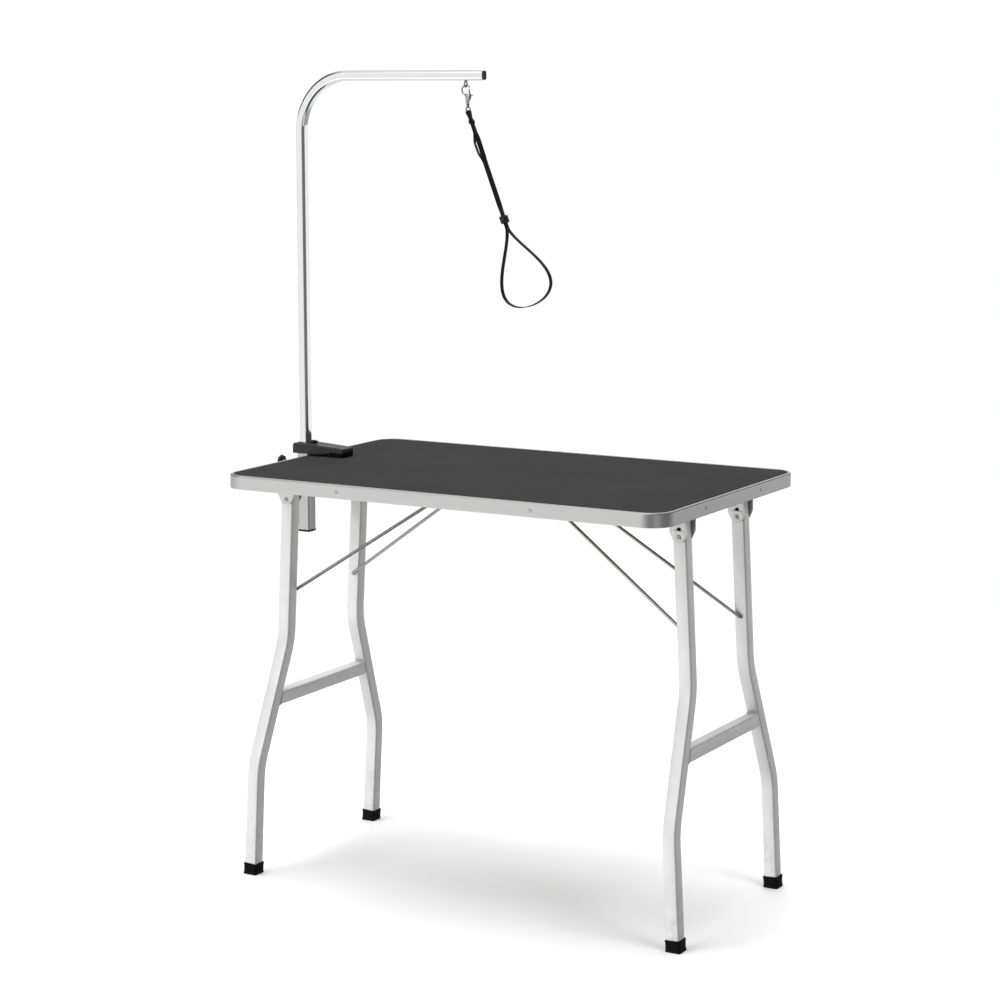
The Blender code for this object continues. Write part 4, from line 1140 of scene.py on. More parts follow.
def make_bracket(name, mesh, end, side):
    x, y = end * PIVOT_X, side * LEG_Y_TOP
    stand(place(name + "_pressing", mesh, Matrix.Translation((x, y, PIVOT_Z))), name)
    for i, sign in enumerate((-1, 1)):
        screw_from_below(f"{name}_screw_{i + 1}", PAN_SCREW,
                         (x, y + sign * BRACKET_SCREW_Y, BOARD_BOTTOM - GAP - BRACKET_THICK),
                         turn=0.7 * i + side + 2 * end)


def rivet_mesh():
    """Rivet along Z with a domed, dimpled head at both ends."""
    half = BRACKET_GAP + BRACKET_THICK + GAP
    head = 0.0012
    top = [(0.0044, half), (0.0046, half + 0.0001), (0.0045, half + 0.0003),
           (0.0041, half + head * 0.45), (0.0034, half + head * 0.62),
           (0.0026, half + head * 0.70), (0.0021, half + head * 0.72),
           (0.00165, half + head * 0.60), (0.0013, half + head * 0.10),
           (0.0012, half - 0.0060), (0, half - 0.0064)]
    bottom = [(r, -z) for r, z in reversed(top)]
    shank = [(RIVET_D / 2, -half), (RIVET_D / 2, half)]
    return take_mesh(turned("rivet_shape", bottom + shank + top, ZINC, segments=32, angle=40))


def make_brace(name, end):
    """Bent wire from leg to leg, up to the clip under the board."""
    hook = Vector((end * (PIVOT_X + BRACE_DOWN * math.sin(SPLAY)), 0,
                   PIVOT_Z - BRACE_DOWN * math.cos(SPLAY)))
    run = Vector((end * APEX_X, 0, BOARD_BOTTOM - APEX_DROP)) - hook
    length = run.length
    run.normalize()
    back = Vector((0, 1, 0))
    half = BRACE_Y_APEX[end]
    corners = [(0, -BRACE_Y_END, 0), (0, -BRACE_Y_HOOK, 0), (length, -half, 0),
               (length, half, 0), (0, BRACE_Y_HOOK, 0), (0, BRACE_Y_END, 0)]
    path = fillet_path(corners, [0.0055, 0.0110, 0.0110, 0.0055], 12)
    stand(rings_mesh(name + "_bent", wire_rings(*rounded_ends(path, BRACE_D / 2), 18),
                     BRACE_PLATE, frame_matrix(hook, run, back, run.cross(back)), angle=50), name)


def make_clip(name, end):
    """Spring clip: flat foot, two jaws curled outwards at the mouth, one screw each side."""
    x, z = end * APEX_X, BOARD_BOTTOM - GAP
    inside = BRACE_D / 2 + 0.0004
    clip = plate(name + "_foot", [rounded_rect(0.0150, 0.0140, 0.0040, 8),
                                  circle(0.0018, 16, x=CLIP_SCREW_X),
                                  circle(0.0018, 16, x=-CLIP_SCREW_X)],
                 CLIP_THICK, ZINC, Matrix.Translation((x, 0, z - CLIP_THICK / 2)))
    soften(clip, 0.0003)
    jaw = [  # distance from the clip's middle, height below the board
        (inside, -0.0004), (inside, -0.0070), (inside + 0.0002, -0.0082),
        (inside + 0.0009, -0.0092), (inside + 0.0013, -0.0098), (inside + 0.0024, -0.0092),
        (inside + 0.0018, -0.0082), (inside + CLIP_THICK, -0.0070),
        (inside + CLIP_THICK, -0.0004)]
    for sign in (-1, 1):
        join(clip, rings_mesh("jaw", [[(x + sign * a, y, z + b) for a, b in jaw]
                                      for y in (-0.0110, 0.0110)], ZINC))
    stand(clip, name)
    for i, sign in enumerate((-1, 1)):
        screw_from_below(f"{name}_screw_{i + 1}", SMALL_SCREW,
                         (x + sign * CLIP_SCREW_X, 0, z - CLIP_THICK), turn=0.5 + 1.1 * i + end)


def make_leg_frames():
    rivet = rivet_mesh()
    for end, end_name in ((-1, "left"), (1, "right")):
        bracket = bracket_mesh(end)
        for side, side_name in ((-1, "front"), (1, "back")):
            corner = f"{end_name}_{side_name}"
            make_leg(f"leg_tube_{corner}", end, side)
            make_foot(f"foot_cap_{corner}", end, side)
            make_bracket(f"hinge_bracket_{corner}", bracket, end, side)
            stand(place(f"pivot_rivet_{corner}_domed", rivet,
                        along_y(end * PIVOT_X, side * LEG_Y_TOP, PIVOT_Z)),
                  f"pivot_rivet_{corner}")
        make_crossbar(f"crossbar_{end_name}", end, f"{end_name}_leg_frame")
        make_brace(f"brace_wire_{end_name}", end)
        make_clip(f"brace_clip_{end_name}", end)


make_leg_frames()


# ======================================================================= clamp
AT_CLAMP = Matrix.Translation((CLAMP_X, ARM_Y, 0))
AT_SET = Matrix.Translation((SET_X, SET_Y, 0))
LOCK_AXIS = along_x(0, ARM_Y, LOCK_Z)

UPPER_JAW = [  # x, half width at the foot, half width at the top, underside, top
    (-0.4870, 0.0212, 0.0206, 0.0030, 0.0214), (-0.4862, 0.0218, 0.0212, 0.0030, 0.0221),
    (-0.4845, 0.0220, 0.0215, 0.0030, 0.0223), (-0.4650, 0.0220, 0.0215, 0.0030, 0.0223),
    (-0.4480, 0.0220, 0.0214, 0.0034, 0.0221), (-0.4250, 0.0219, 0.0211, 0.0040, 0.0207),
    (-0.4160, 0.0218, 0.0210, 0.0052, 0.0202), (-0.4060, 0.0217, 0.0208, 0.0090, 0.0196),
    (-0.3900, 0.0214, 0.0204, 0.0090, 0.0186), (-0.3800, 0.0210, 0.0198, 0.0090, 0.0179),
    (-0.3750, 0.0204, 0.0190, 0.0090, 0.0172), (-0.3727, 0.0194, 0.0178, 0.0092, 0.0162),
    (-0.3720, 0.0186, 0.0168, 0.0097, 0.0152)]


def make_upper_jaw():
    """Pressed steel jaw: channel section that tapers to the nose, sleeve hole at the tail."""
    rings = []
    for x, foot, crown, under, top in UPPER_JAW:
        r = min(0.0032, (top - under) * 0.42)
        row = [(-foot, under)]
        for sign, start in ((-1, 180), (1, 90)):
            for i in range(7):
                angle = math.radians(start - 90 * i / 6)
                row.append((sign * (crown - r) + r * math.cos(angle),
                            top - r + r * math.sin(angle)))
        row.append((foot, under))
        rings.append([(x, ARM_Y + y, z) for y, z in row])
    jaw = rings_mesh("clamp_upper_jaw_pressing", rings, BLACK_METAL, angle=38)
    half = SLEEVE / 2 + GAP
    cut(jaw, box("sleeve_hole", (ARM_X - half, ARM_Y - half, -0.01),
                 (ARM_X + half, ARM_Y + half, 0.05)))
    cut(jaw, box("channel", (-0.4530, ARM_Y - 0.0185, -0.01), (-0.4050, ARM_Y + 0.0185, 0.0160)))
    cut(jaw, hole(0.0028, 0.0, 0.04, AT_SET))
    stand(soften(jaw, 0.0004, angle=45), "clamp_upper_jaw")


def make_jaw_fittings():
    """Collar pressed round the set screw, and the weld that holds the jaw to the sleeve."""
    collar = [(0.0030, 0.0205), (0.0064, 0.0205), (0.0062, 0.0222), (0.0056, 0.02255),
              (0.0030, 0.02255), (0.0030, 0.0205)]
    rider(turned("clamp_jaw_boss", collar, BLACK_METAL, AT_SET), "table")
    loop = [Vector((ARM_X + a, ARM_Y + b, 0.0219)) for a, b in square(SLEEVE / 2 + 0.0002, 0.0024)]
    weld_bead("clamp_jaw_weld", "table", loop, Vector((0, 0, 1)), seed=3.0, radius=0.0010,
              material=BLACK_METAL)


def make_jaw_pad():
    """Ribbed rubber block under the nose of the jaw."""
    low_x, high_x, half_y = -0.4035, -0.3735, 0.0200
    chamfer, top, ribs = 0.0012, 0.0087, 6
    side = [(low_x, top), (low_x, 0.0022), (low_x + chamfer, 0.0006)]
    pitch = (high_x - low_x - 2 * chamfer) / ribs
    for i in range(ribs):
        x = low_x + chamfer + i * pitch
        side += [(x + 0.12 * pitch, GAP), (x + 0.62 * pitch, GAP),
                 (x + 0.72 * pitch, 0.0012), (x + 0.98 * pitch, 0.0012)]
    side += [(high_x - chamfer, 0.0006), (high_x, 0.0022), (high_x, top)]
    pad = rings_mesh("jaw_pad_block", [[(x, y, z) for x, z in side]
                                       for y in (ARM_Y - half_y, ARM_Y + half_y)], BLACK_RUBBER)
    stand(soften(pad, 0.0003, angle=40), "jaw_pad")


def make_sleeve():
    sleeve = hollow("clamp_sleeve_tube",
                    [Vector((SLEEVE_BOTTOM, 0, 0)), Vector((SLEEVE_TOP, 0, 0))], SLEEVE,
                    (SLEEVE - SLEEVE_BORE) / 2, 0.0026, SLEEVE_PLATE,
                    frame_matrix((ARM_X, ARM_Y, 0), (0, 0, 1), (1, 0, 0), (0, 1, 0)), steps=8)
    cut(sleeve, hole(0.0033, -0.016, -0.006, along_x(ARM_X, ARM_Y, LOCK_Z)))
    stand(soften(sleeve, 0.0002, angle=60), "clamp_sleeve")


def post_box(name, half, low, high, bevel):
    """Plastic block centred on the upright of the arm."""
    return box(name, (ARM_X - half, ARM_Y - half, low), (ARM_X + half, ARM_Y + half, high),
               BLACK_PLASTIC, bevel=bevel)


def make_sleeve_cap():
    thick = 0.0035
    cap = plate("sleeve_end_cap_plug", [square(0.0131, 0.0030, 8)], thick, BLACK_PLASTIC,
                Matrix.Translation((ARM_X, ARM_Y, SLEEVE_BOTTOM - GAP - thick / 2)))
    soften(cap, 0.0006, 3)
    plug = post_box("plug", 0.0093, SLEEVE_BOTTOM - 0.0010, SLEEVE_BOTTOM + 0.0110, bevel=0.0012)
    stand(merge("sleeve_end_cap_moulding", [cap, plug]), "sleeve_end_cap")


def make_lower_jaw():
    """Flat bar with a rounded end, the hexagonal boss under the pad and the weld at the sleeve."""
    tail_x = ARM_X + SLEEVE / 2 + GAP
    outline = [(tail_x, -LOWER_JAW_HALF)]
    for i in range(13):
        angle = math.radians(-90 + 180 * i / 12)
        outline.append((LOWER_JAW_END_X + LOWER_JAW_HALF * math.cos(angle),
                        LOWER_JAW_HALF * math.sin(angle)))
    outline.append((tail_x, LOWER_JAW_HALF))
    jaw = plate("clamp_lower_jaw_bar", [outline, circle(0.0043, 32, x=CLAMP_X)],
                LOWER_JAW_THICK, BLACK_METAL, Matrix.Translation((0, ARM_Y, LOWER_JAW_Z)))
    stand(soften(jaw, 0.0008, 3), "clamp_lower_jaw")
    profile = [(0.0044, -0.0500), (0.0070, -0.0500), (0.0070, -0.0476), (0.0064, -0.0470),
               (0.0044, -0.0470), (0.0044, -0.0500)]
    boss = turned("clamp_thread_boss", profile, BLACK_METAL, AT_CLAMP, segments=6, angle=25)
    rider(soften(boss, 0.0003), "table")
    loop = [Vector((tail_x - 0.0001, ARM_Y + a, LOWER_JAW_Z + b))
            for a, b in rounded_rect(0.0142, 0.0031, 0.0008, 4)]
    weld_bead("clamp_lower_weld", "table", loop, Vector((1, 0, 0)), seed=1.0, radius=0.0012,
              material=BLACK_METAL)


def make_pressure_pad():
    """Rubber disc with two grooves in its top face."""
    profile = [(0, -0.0286), (0.0058, -0.0286), (0.0066, -0.0283), (0.0104, -0.0263),
               (0.01095, -0.0255), (0.0110, -0.0244), (0.0107, -0.0238), (0.0100, -0.0236),
               (0.0084, -0.0236), (0.0082, -0.0240), (0.0074, -0.0240), (0.0072, -0.0236),
               (0.0054, -0.0236), (0.0052, -0.0240), (0.0044, -0.0240), (0.0042, -0.0236),
               (0, -0.0236)]
    stand(turned("pressure_pad_disc", profile, BLACK_RUBBER, AT_CLAMP, segments=48),
          "pressure_pad")


def make_clamp_screw():
    screw = threaded("thread", radius=0.0040, pitch=0.00125, low=-0.0685, high=-0.0316,
                     matrix=AT_CLAMP, segments=32)
    tip = turned("tip", [(0, -0.0322), (0.0032, -0.0322), (0.0032, -0.0312), (0.0028, -0.0291),
                         (0, -0.0289)], ZINC, AT_CLAMP, segments=32)
    stand(merge("clamp_screw_threaded", [screw, tip]), "clamp_screw")


def wings(hub, span, low, high, matrix):
    """Two wings about Z, rounded at the rim and thinner outwards."""
    count, layers, rim = 96, 9, 0.0016
    rings = []
    for k in range(layers):
        level = -1 + 2 * k / (layers - 1)
        inset = rim * (1 - math.sqrt(max(0.0, 1 - level * level)))
        row = []
        for i in range(count):
            angle = 2 * math.pi * i / count
            wing = abs(math.cos(angle)) ** 4
            r = hub + (span - hub) * wing - inset
            half = (high - low) / 2 * (1 - 0.22 * wing)
            row.append((r * math.cos(angle), r * math.sin(angle), (low + high) / 2 + level * half))
        rings.append(row)
    return rings_mesh("wings", rings, BLACK_PLASTIC, matrix, angle=50)


def make_clamp_knob():
    knob = wings(hub=0.0075, span=0.0185, low=-0.0724, high=-0.0666, matrix=AT_CLAMP)
    profile = [(0, -0.0728), (0.0055, -0.0728), (0.0070, -0.0724), (0.0079, -0.0714),
               (0.0080, -0.0700), (0.0078, -0.0640), (0.0070, -0.0618), (0.0062, -0.0612),
               (0.0043, -0.0612), (0.0043, -0.0660), (0, -0.0688)]
    hub = turned("hub", profile, BLACK_PLASTIC, AT_CLAMP, segments=48)
    stand(merge("clamp_knob_moulding", [knob, hub]), "clamp_knob")


def make_lock():
    """Lock screw, its nut and its fluted knob on the outer (-X) side of the sleeve."""
    stand(threaded("lock_screw_threaded", radius=0.0030, pitch=0.0010, low=-0.5285,
                   high=-0.4798, matrix=LOCK_AXIS, segments=24), "lock_screw")
    at_nut = along_x(LOCK_NUT_X, ARM_Y, LOCK_Z)
    nut = plate("lock_nut_hex", [circle(0.0075, 6), circle(0.0031)], 0.0077, BLACK_METAL, at_nut)
    chamfer = turned("chamfer", [(0, -0.0050), (0.0060, -0.0050), (0.0076, -0.0034),
                                 (0.0076, 0.0034), (0.0060, 0.0050), (0, 0.0050)],
                     matrix=at_nut, segments=48)
    boolean(nut, chamfer, "INTERSECT")
    stand(soften(nut, 0.0002, angle=40), "lock_nut")

    def flutes(angle, radius):
        depth = 0.0007 * min(1.0, radius / 0.0113) ** 3
        return 1 + (depth * math.cos(8 * angle) / radius if radius > 0.004 else 0.0)

    profile = [(0, -0.5325), (0.0060, -0.5325), (0.0086, -0.5321), (0.0102, -0.5312),
               (0.0111, -0.5298), (0.0113, -0.5284), (0.0113, -0.5262), (0.0110, -0.5249),
               (0.0101, -0.5240), (0.0085, -0.5236), (0.0064, -0.5235), (0.0062, -0.5237),
               (0.0046, -0.5237), (0.0044, -0.5235), (0.0033, -0.5235), (0.0033, -0.5288),
               (0, -0.5288)]
    stand(turned("lock_knob_moulding", profile, BLACK_PLASTIC, LOCK_AXIS, segments=96, angle=50,
                 swell=flutes), "lock_knob")


def make_set_screw():
    thumb = wings(hub=0.0042, span=0.0085, low=0.0231, high=0.0281,
                  matrix=AT_SET @ Matrix.Rotation(math.radians(35), 4, "Z"))
    profile = [(0, 0.0085), (0.0021, 0.0085), (0.0025, 0.0090), (0.0025, 0.0226),
               (0.0046, 0.0227), (0.0048, 0.0230), (0.0048, 0.0278), (0.0044, 0.0286),
               (0.0034, 0.0290), (0, 0.0290)]
    boss = turned("boss", profile, BLACK_PLASTIC, AT_SET)
    stand(merge("set_screw_moulding", [thumb, boss]), "set_screw")


make_upper_jaw()
make_jaw_fittings()
make_jaw_pad()
make_sleeve()
make_sleeve_cap()
make_lower_jaw()
make_pressure_pad()
make_clamp_screw()
make_clamp_knob()
make_lock()
make_set_screw()


# ========================================================================= arm
ARM_UNDER = ARM_TOP_Z - ARM_TUBE / 2
EYE_Z = ARM_UNDER - GAP - EYE_R - EYE_WIRE


def make_arm():
    corners = [(ARM_FOOT_Z, 0, 0), (ARM_TOP_Z, 0, 0), (ARM_TOP_Z, ARM_END_X - ARM_X, 0)]
    arm = hollow("arm_tube_bent", fillet_path(corners, ARM_BEND_R, 40), ARM_TUBE, ARM_WALL,
                 0.0054, CHROME,
                 frame_matrix((ARM_X, ARM_Y, 0), (0, 0, 1), (1, 0, 0), (0, 1, 0)), steps=12)
    cut(arm, hole(0.0023, ARM_TOP_Z - 0.014, ARM_TOP_Z - 0.004,
                  Matrix.Translation((EYE_X, ARM_Y, 0))))
    stand(arm, "arm_tube")


def make_arm_plugs():
    """Plug in the end of the arm, its face just inside the rim, and plug in the foot of the post."""
    thick, half = 0.0022, 0.0077
    face = plate("face", [square(0.0079, 0.0036, 10)], thick, BLACK_PLASTIC,
                 along_x(ARM_END_X - 0.0004 - thick / 2, ARM_Y, ARM_TOP_Z))
    soften(face, 0.0007, 4)
    plug = box("plug", (ARM_END_X - 0.0130, ARM_Y - half, ARM_TOP_Z - half),
               (ARM_END_X - 0.0020, ARM_Y + half, ARM_TOP_Z + half), BLACK_PLASTIC, bevel=0.0034)
    stand(merge("arm_end_cap_moulding", [face, plug]), "arm_end_cap")
    rim = post_box("rim", 0.0092, ARM_FOOT_Z - GAP - 0.0025, ARM_FOOT_Z - GAP, bevel=0.0009)
    stub = post_box("stub", half, ARM_FOOT_Z - 0.001, ARM_FOOT_Z + 0.0100, bevel=0.0034)
    stand(merge("post_plug_moulding", [rim, stub]), "post_plug")


def make_arm_eye():
    """Eye screw under the arm: ring, neck and flange."""
    path = [Vector((0, y, z)) for y, z in circle(EYE_R, 48)]
    ring = wire_loop("ring", path, EYE_WIRE, NICKEL, Matrix.Translation((EYE_X, ARM_Y, EYE_Z)),
                     sides=18)
    axis = Matrix.Translation((EYE_X, ARM_Y, 0))
    ring_top = EYE_Z + EYE_R
    neck = turned("neck", [(0, ring_top - 0.0003), (0.0017, ring_top - 0.0003),
                           (0.0019, ring_top + 0.0008), (0.0019, ARM_UNDER + 0.0055),
                           (0.0014, ARM_UNDER + 0.0060), (0, ARM_UNDER + 0.0060)],
                  NICKEL, axis, segments=28)
    profile = [(0.0018, -0.0011), (0.0034, -0.0011), (0.0037, -0.0008), (0.0037, -0.0003),
               (0.0034, -0.0001), (0.0018, -0.0001), (0.0018, -0.0011)]
    flange = turned("flange", [(r, ARM_UNDER + z) for r, z in profile], NICKEL, axis, segments=36)
    stand(merge("arm_eye_screw", [ring, neck, flange]), "arm_eye")


make_arm()
make_arm_plugs()
make_arm_eye()


# ================================================================== snap hook
# Hangs from the bottom of the eye, tilted about Y.
SNAP = (Matrix.Translation(Vector((EYE_X, ARM_Y, EYE_Z - EYE_R)))
        @ Matrix.Rotation(-SNAP_TILT, 4, "Y"))
AT_BOLT = SNAP @ Matrix.Translation((BOLT_X, 0, 0))

SNAP_BODY = [  # z, centre x, half x, half y, power of the superellipse
    (-0.0124, 0.0029, 0.0052, 0.0020, 2.6), (-0.0130, 0.0029, 0.0059, 0.0027, 2.8),
    (-0.0142, 0.0029, 0.0063, 0.0030, 3.0), (-0.0180, 0.0028, 0.0062, 0.0030, 3.0),
    (-0.0215, 0.0025, 0.0058, 0.0030, 2.8), (-0.0240, 0.0016, 0.0048, 0.0031, 2.5),
    (-0.0260, 0.0007, 0.0040, 0.0033, 2.2), (-0.0278, 0.0001, 0.0035, 0.0034, 2.0),
    (-0.0290, 0.0, 0.0034, 0.0034, 2.0), (-0.0296, 0.0, 0.0030, 0.0030, 2.0),
    (-0.0301, 0.0, 0.0030, 0.0030, 2.0), (-0.0306, 0.0, 0.0034, 0.0034, 2.0),
    (-0.0338, 0.0, 0.0034, 0.0034, 2.0), (-0.0345, 0.0, 0.0029, 0.0029, 2.0)]


def make_snap_hook():
    """Round hook that thickens towards the body, and the slotted body with its swivel barrel."""
    centre_z = 0.0033 - HOOK_R
    points, radii = [], []
    for i in range(61):
        w = i / 60
        angle = math.radians(20 + 250 * w)
        points.append(Vector((HOOK_R * math.cos(angle), 0.0,
                              centre_z + HOOK_R * math.sin(angle))))
        radius = HOOK_WIRE * (0.92 + 0.30 * w ** 2)
        if i < 5:  # rounded tip
            radius *= math.sin(math.pi / 2 * (i + 0.4) / 5.4)
        radii.append(radius)
    hook = rings_mesh("hook", wire_rings(points, radii, 20), NICKEL, SNAP, angle=60)
    rings = []
    for z, centre_x, half_x, half_y, power in SNAP_BODY:
        row = []
        for i in range(40):
            angle = 2 * math.pi * i / 40
            c, s = math.cos(angle), math.sin(angle)
            row.append((centre_x + half_x * math.copysign(abs(c) ** (2 / power), c),
                        half_y * math.copysign(abs(s) ** (2 / power), s), z))
        rings.append(row)
    body = rings_mesh("body", rings, NICKEL, SNAP, angle=45)
    cut(body, box("bolt_slot", (0.0052, -0.0010, -0.0226), (0.0110, 0.0010, -0.0150),
                  matrix=SNAP, bevel=0.0003, segments=2))
    cut(body, hole(0.0017, -0.0235, -0.0100, AT_BOLT))
    stand(merge("snap_hook_casting", [hook, body]), "snap_hook")


def make_snap_bolt():
    """Sliding bolt and the stud that moves it."""
    bolt = turned("bolt", [(0, -0.0185), (0.0011, -0.0185), (0.0013, -0.0183),
                           (0.0013, -0.0046), (0.0010, -0.0041), (0, -0.0040)],
                  NICKEL, AT_BOLT, segments=24)
    stud = turned("stud", [(0, -0.0008), (0.0007, -0.0008), (0.0007, 0.0040), (0.0013, 0.0042),
                           (0.0014, 0.0046), (0.0014, 0.0056), (0.0011, 0.0060), (0, 0.0060)],
                  NICKEL, SNAP @ along_x(BOLT_X, 0, -0.0167), segments=24)
    stand(merge("snap_bolt_pin", [bolt, stud]), "snap_bolt")


def make_swivel():
    """Rounded wire ring under a pin that turns in the barrel."""
    path = [Vector((0, y, z)) for y, z in rounded_rect(0.0073, 0.0040, 0.0030, 10)]
    ring = wire_loop("ring", path, 0.00125, NICKEL,
                     SNAP @ Matrix.Translation((0, 0, -0.0416)), sides=16)
    profile = [(0, -0.0378), (0.0022, -0.0378), (0.0029, -0.0372), (0.0030, -0.0364),
               (0.0030, -0.0354), (0.0026, -0.0349), (0.0016, -0.0349), (0.0016, -0.0290),
               (0, -0.0290)]
    pin = turned("pin", profile, NICKEL, SNAP, segments=32)
    stand(merge("swivel_ring_wire", [ring, pin]), "swivel_ring")


make_snap_hook()
make_snap_bolt()
make_swivel()


# ====================================================================== noose
# Strap frame: -Z runs down the strap from the swivel ring, Y is across the tape.
STRAP = (Matrix.Translation(SNAP @ Vector((0, 0, -0.0456)))
         @ Matrix.Rotation(-STRAP_TILT, 4, "Y"))


def smoothstep(low, high, value):
    t = max(0.0, min(1.0, (value - low) / (high - low)))
    return t * t * (3 - 2 * t)


def strand_offset(drop):
    """Distance of a strand from the middle: it closes below the ring and bulges once."""
    neck = BAR_OFFSET + (CLOSE_OFFSET - BAR_OFFSET) * smoothstep(0.0, 0.011, drop)
    return neck + (0.0014 * smoothstep(0.034, 0.062, drop)
                   * (1 - smoothstep(0.066, 0.094, drop)))


def noose_centre_line():
    """(x, drop) down one strand, round the loop, up the other and over the ring."""
    right = []
    for i in range(90):
        drop = 0.2150 * i / 89
        right.append((strand_offset(drop), drop))
    for i in range(1, 73):
        t = math.pi * i / 72
        x = (CLOSE_OFFSET * (1 + math.cos(t)) / 2
             + LOOP_REACH * math.sin(t) * math.sin(t / 2) ** 2)
        right.append((x, LOOP_START + LOOP_LENGTH / 2 * (1 - math.cos(t))))
    left = [(-x, drop) for x, drop in reversed(right[:-1])]
    over = [(-BAR_OFFSET * math.cos(math.pi * i / 14), -BAR_OFFSET * math.sin(math.pi * i / 14))
            for i in range(1, 14)]
    return right + left + over


def strand_twist(drop):
    """Turn of the pair between keeper and slider, and the slack of the left strand."""
    begin = smoothstep(0.036, 0.062, drop)
    settle = 1 - smoothstep(0.074, 0.099, drop)
    pair = (-math.radians(28) * begin * settle
            - math.radians(12) * begin * (1 - smoothstep(0.176, 0.198, drop)))
    return pair, smoothstep(0.040, 0.060, drop) * settle


def tape_section():
    """(across the tape, through its thickness): flat, with thicker rounded selvedges."""
    half_w, half_t, selvedge = STRAP_W / 2, STRAP_T / 2, 0.0007
    section = []
    for sign in (1, -1):
        for k in range(13):
            v = sign * (-1 + 2 * k / 12)
            thick = half_t * (0.86 + 0.14 * smoothstep(0.72, 0.95, abs(v)))
            section.append((v * (half_w - selvedge), sign * thick))
        for k in range(1, 6):
            angle = math.radians(180 - sign * 90 - 30 * k)
            section.append((sign * (half_w - selvedge) + selvedge * math.cos(angle),
                            half_t * math.sin(angle)))
    return section


def make_strap():
    """Woven tape swept round the closed loop, with U along it and V across it."""
    line = [Vector((x, drop, 0)) for x, drop in noose_centre_line()]
    count = len(line)
    section = tape_section()
    sides = len(section)
    run = [0.0]
    for i in range(1, count + 1):
        run.append(run[-1] + (line[i % count] - line[i - 1]).length)
    rings = []
    for i, point in enumerate(line):
        ahead = (line[(i + 1) % count] - line[i - 1]).normalized()
        side = Vector((ahead.y, -ahead.x, 0))
        pair, slack = strand_twist(point.y)
        left = point.x < 0
        turn = pair * (1 - 0.35 * slack) + (math.radians(38) * slack if left else 0.0)
        flip = -1.0 if ahead.y < 0 else 1.0
        x, y = point.x * math.cos(pair), point.x * math.sin(pair)
        if left:
            x, y = x - 0.0052 * slack, y - 0.0030 * slack
        c, s = math.cos(turn), math.sin(turn)
        ring = []
        for a, b in section:
            out = b * c - flip * a * s
            ring.append(Vector((x + side.x * out, y + a * c + flip * b * s,
                                -(point.y + side.y * out))))
        rings.append(ring)
    bm = bmesh.new()
    weave = bm.loops.layers.uv.new("weave")
    for index, face in enumerate(skin(bm, rings, closed=True)):
        i, j = divmod(index, sides)
        for loop, (u, v) in zip(face.loops, ((i, j), (i, j + 1), (i + 1, j + 1), (i + 1, j))):
            loop[weave].uv = (run[u], section[v % sides][0])
    stand(from_bmesh("noose_strap_webbing", bm, NYLON, STRAP, angle=50), "noose_strap")


def make_stitching():
    """A sewn rectangle of thread on the outer face of each strand, below the keeper."""
    top, bottom, half_y = 0.0245, 0.0335, 0.0032
    count = 5
    pitch = (bottom - top) / count
    lifts = [math.sin(math.pi * k / 6) for k in range(7)]
    bm = bmesh.new()
    for sign in (-1, 1):
        face = sign * (CLOSE_OFFSET + STRAP_T / 2 * 0.9)
        for y in (-half_y, half_y):
            for i in range(count):
                start, end = top + pitch * (i + 0.12), top + pitch * (i + 0.88)
                points = [Vector((face + sign * 0.00010 * lift, y,
                                  -(start + (end - start) * k / 6)))
                          for k, lift in enumerate(lifts)]
                radii = [0.00022 * (0.35 + 0.65 * math.sqrt(lift)) for lift in lifts]
                skin(bm, wire_rings(points, radii, 8))
        for drop in (top, bottom):
            for i in range(3):
                y = -0.0021 + 0.0021 * i
                points = [Vector((face * (1 + 0.04 * lift), y - 0.0008 + 0.0016 * k / 6, -drop))
                          for k, lift in enumerate(lifts)]
                skin(bm, wire_rings(points, [0.0002] * 7, 8))
    rider(from_bmesh("noose_stitching", bm, THREAD, STRAP, angle=60), "noose")


def sleeve_block(name, top, bottom, half_x, half_y, radius, material, ribs=0, play=0.0001):
    """Block round both strands: rounded section, waisted ends, open slot through it."""
    rings = []
    for i in range(25):
        w = i / 24
        shrink = 0.0011 * (1 - math.sqrt(max(0.0, 1 - (2 * w - 1) ** 8)))
        if ribs and 0.12 < w < 0.88:
            shrink += 0.00035 * (0.5 - 0.5 * math.cos(2 * math.pi * ribs * w))
        rings.append([Vector((x, y, -(top + (bottom - top) * w)))
                      for x, y in rounded_rect(half_x - shrink, half_y - shrink, radius)])
    slot = rounded_rect(CLOSE_OFFSET + STRAP_T / 2 + play,
                        STRAP_W / 2 + max(0.0001, play * 0.4), 0.0006)
    rings += [[Vector((x, y, -drop)) for x, y in slot] for drop in (bottom, top)]
    return rings_mesh(name, rings, material, STRAP, angle=40, closed=True)


def make_keeper():
    """Sewn band; its weave coordinates run round the strap and along it."""
    keeper = sleeve_block("strap_keeper_band", 0.0150, 0.0230, 0.0034, 0.0066, 0.0016, NYLON)
    mesh = keeper.data
    layer = mesh.uv_layers.new(name="weave")
    to_strap = STRAP.inverted()
    for loop in mesh.loops:
        point = to_strap @ mesh.vertices[loop.vertex_index].co
        layer.data[loop.index].uv = (math.atan2(point.y / 2, point.x) * 0.004, point.z)
    stand(keeper, "strap_keeper")


make_strap()
make_stitching()
make_keeper()
stand(sleeve_block("noose_slider_moulding", 0.2020, 0.2160, 0.0062, 0.0082, 0.0028,
                   BLACK_PLASTIC, ribs=4, play=0.0013), "noose_slider")


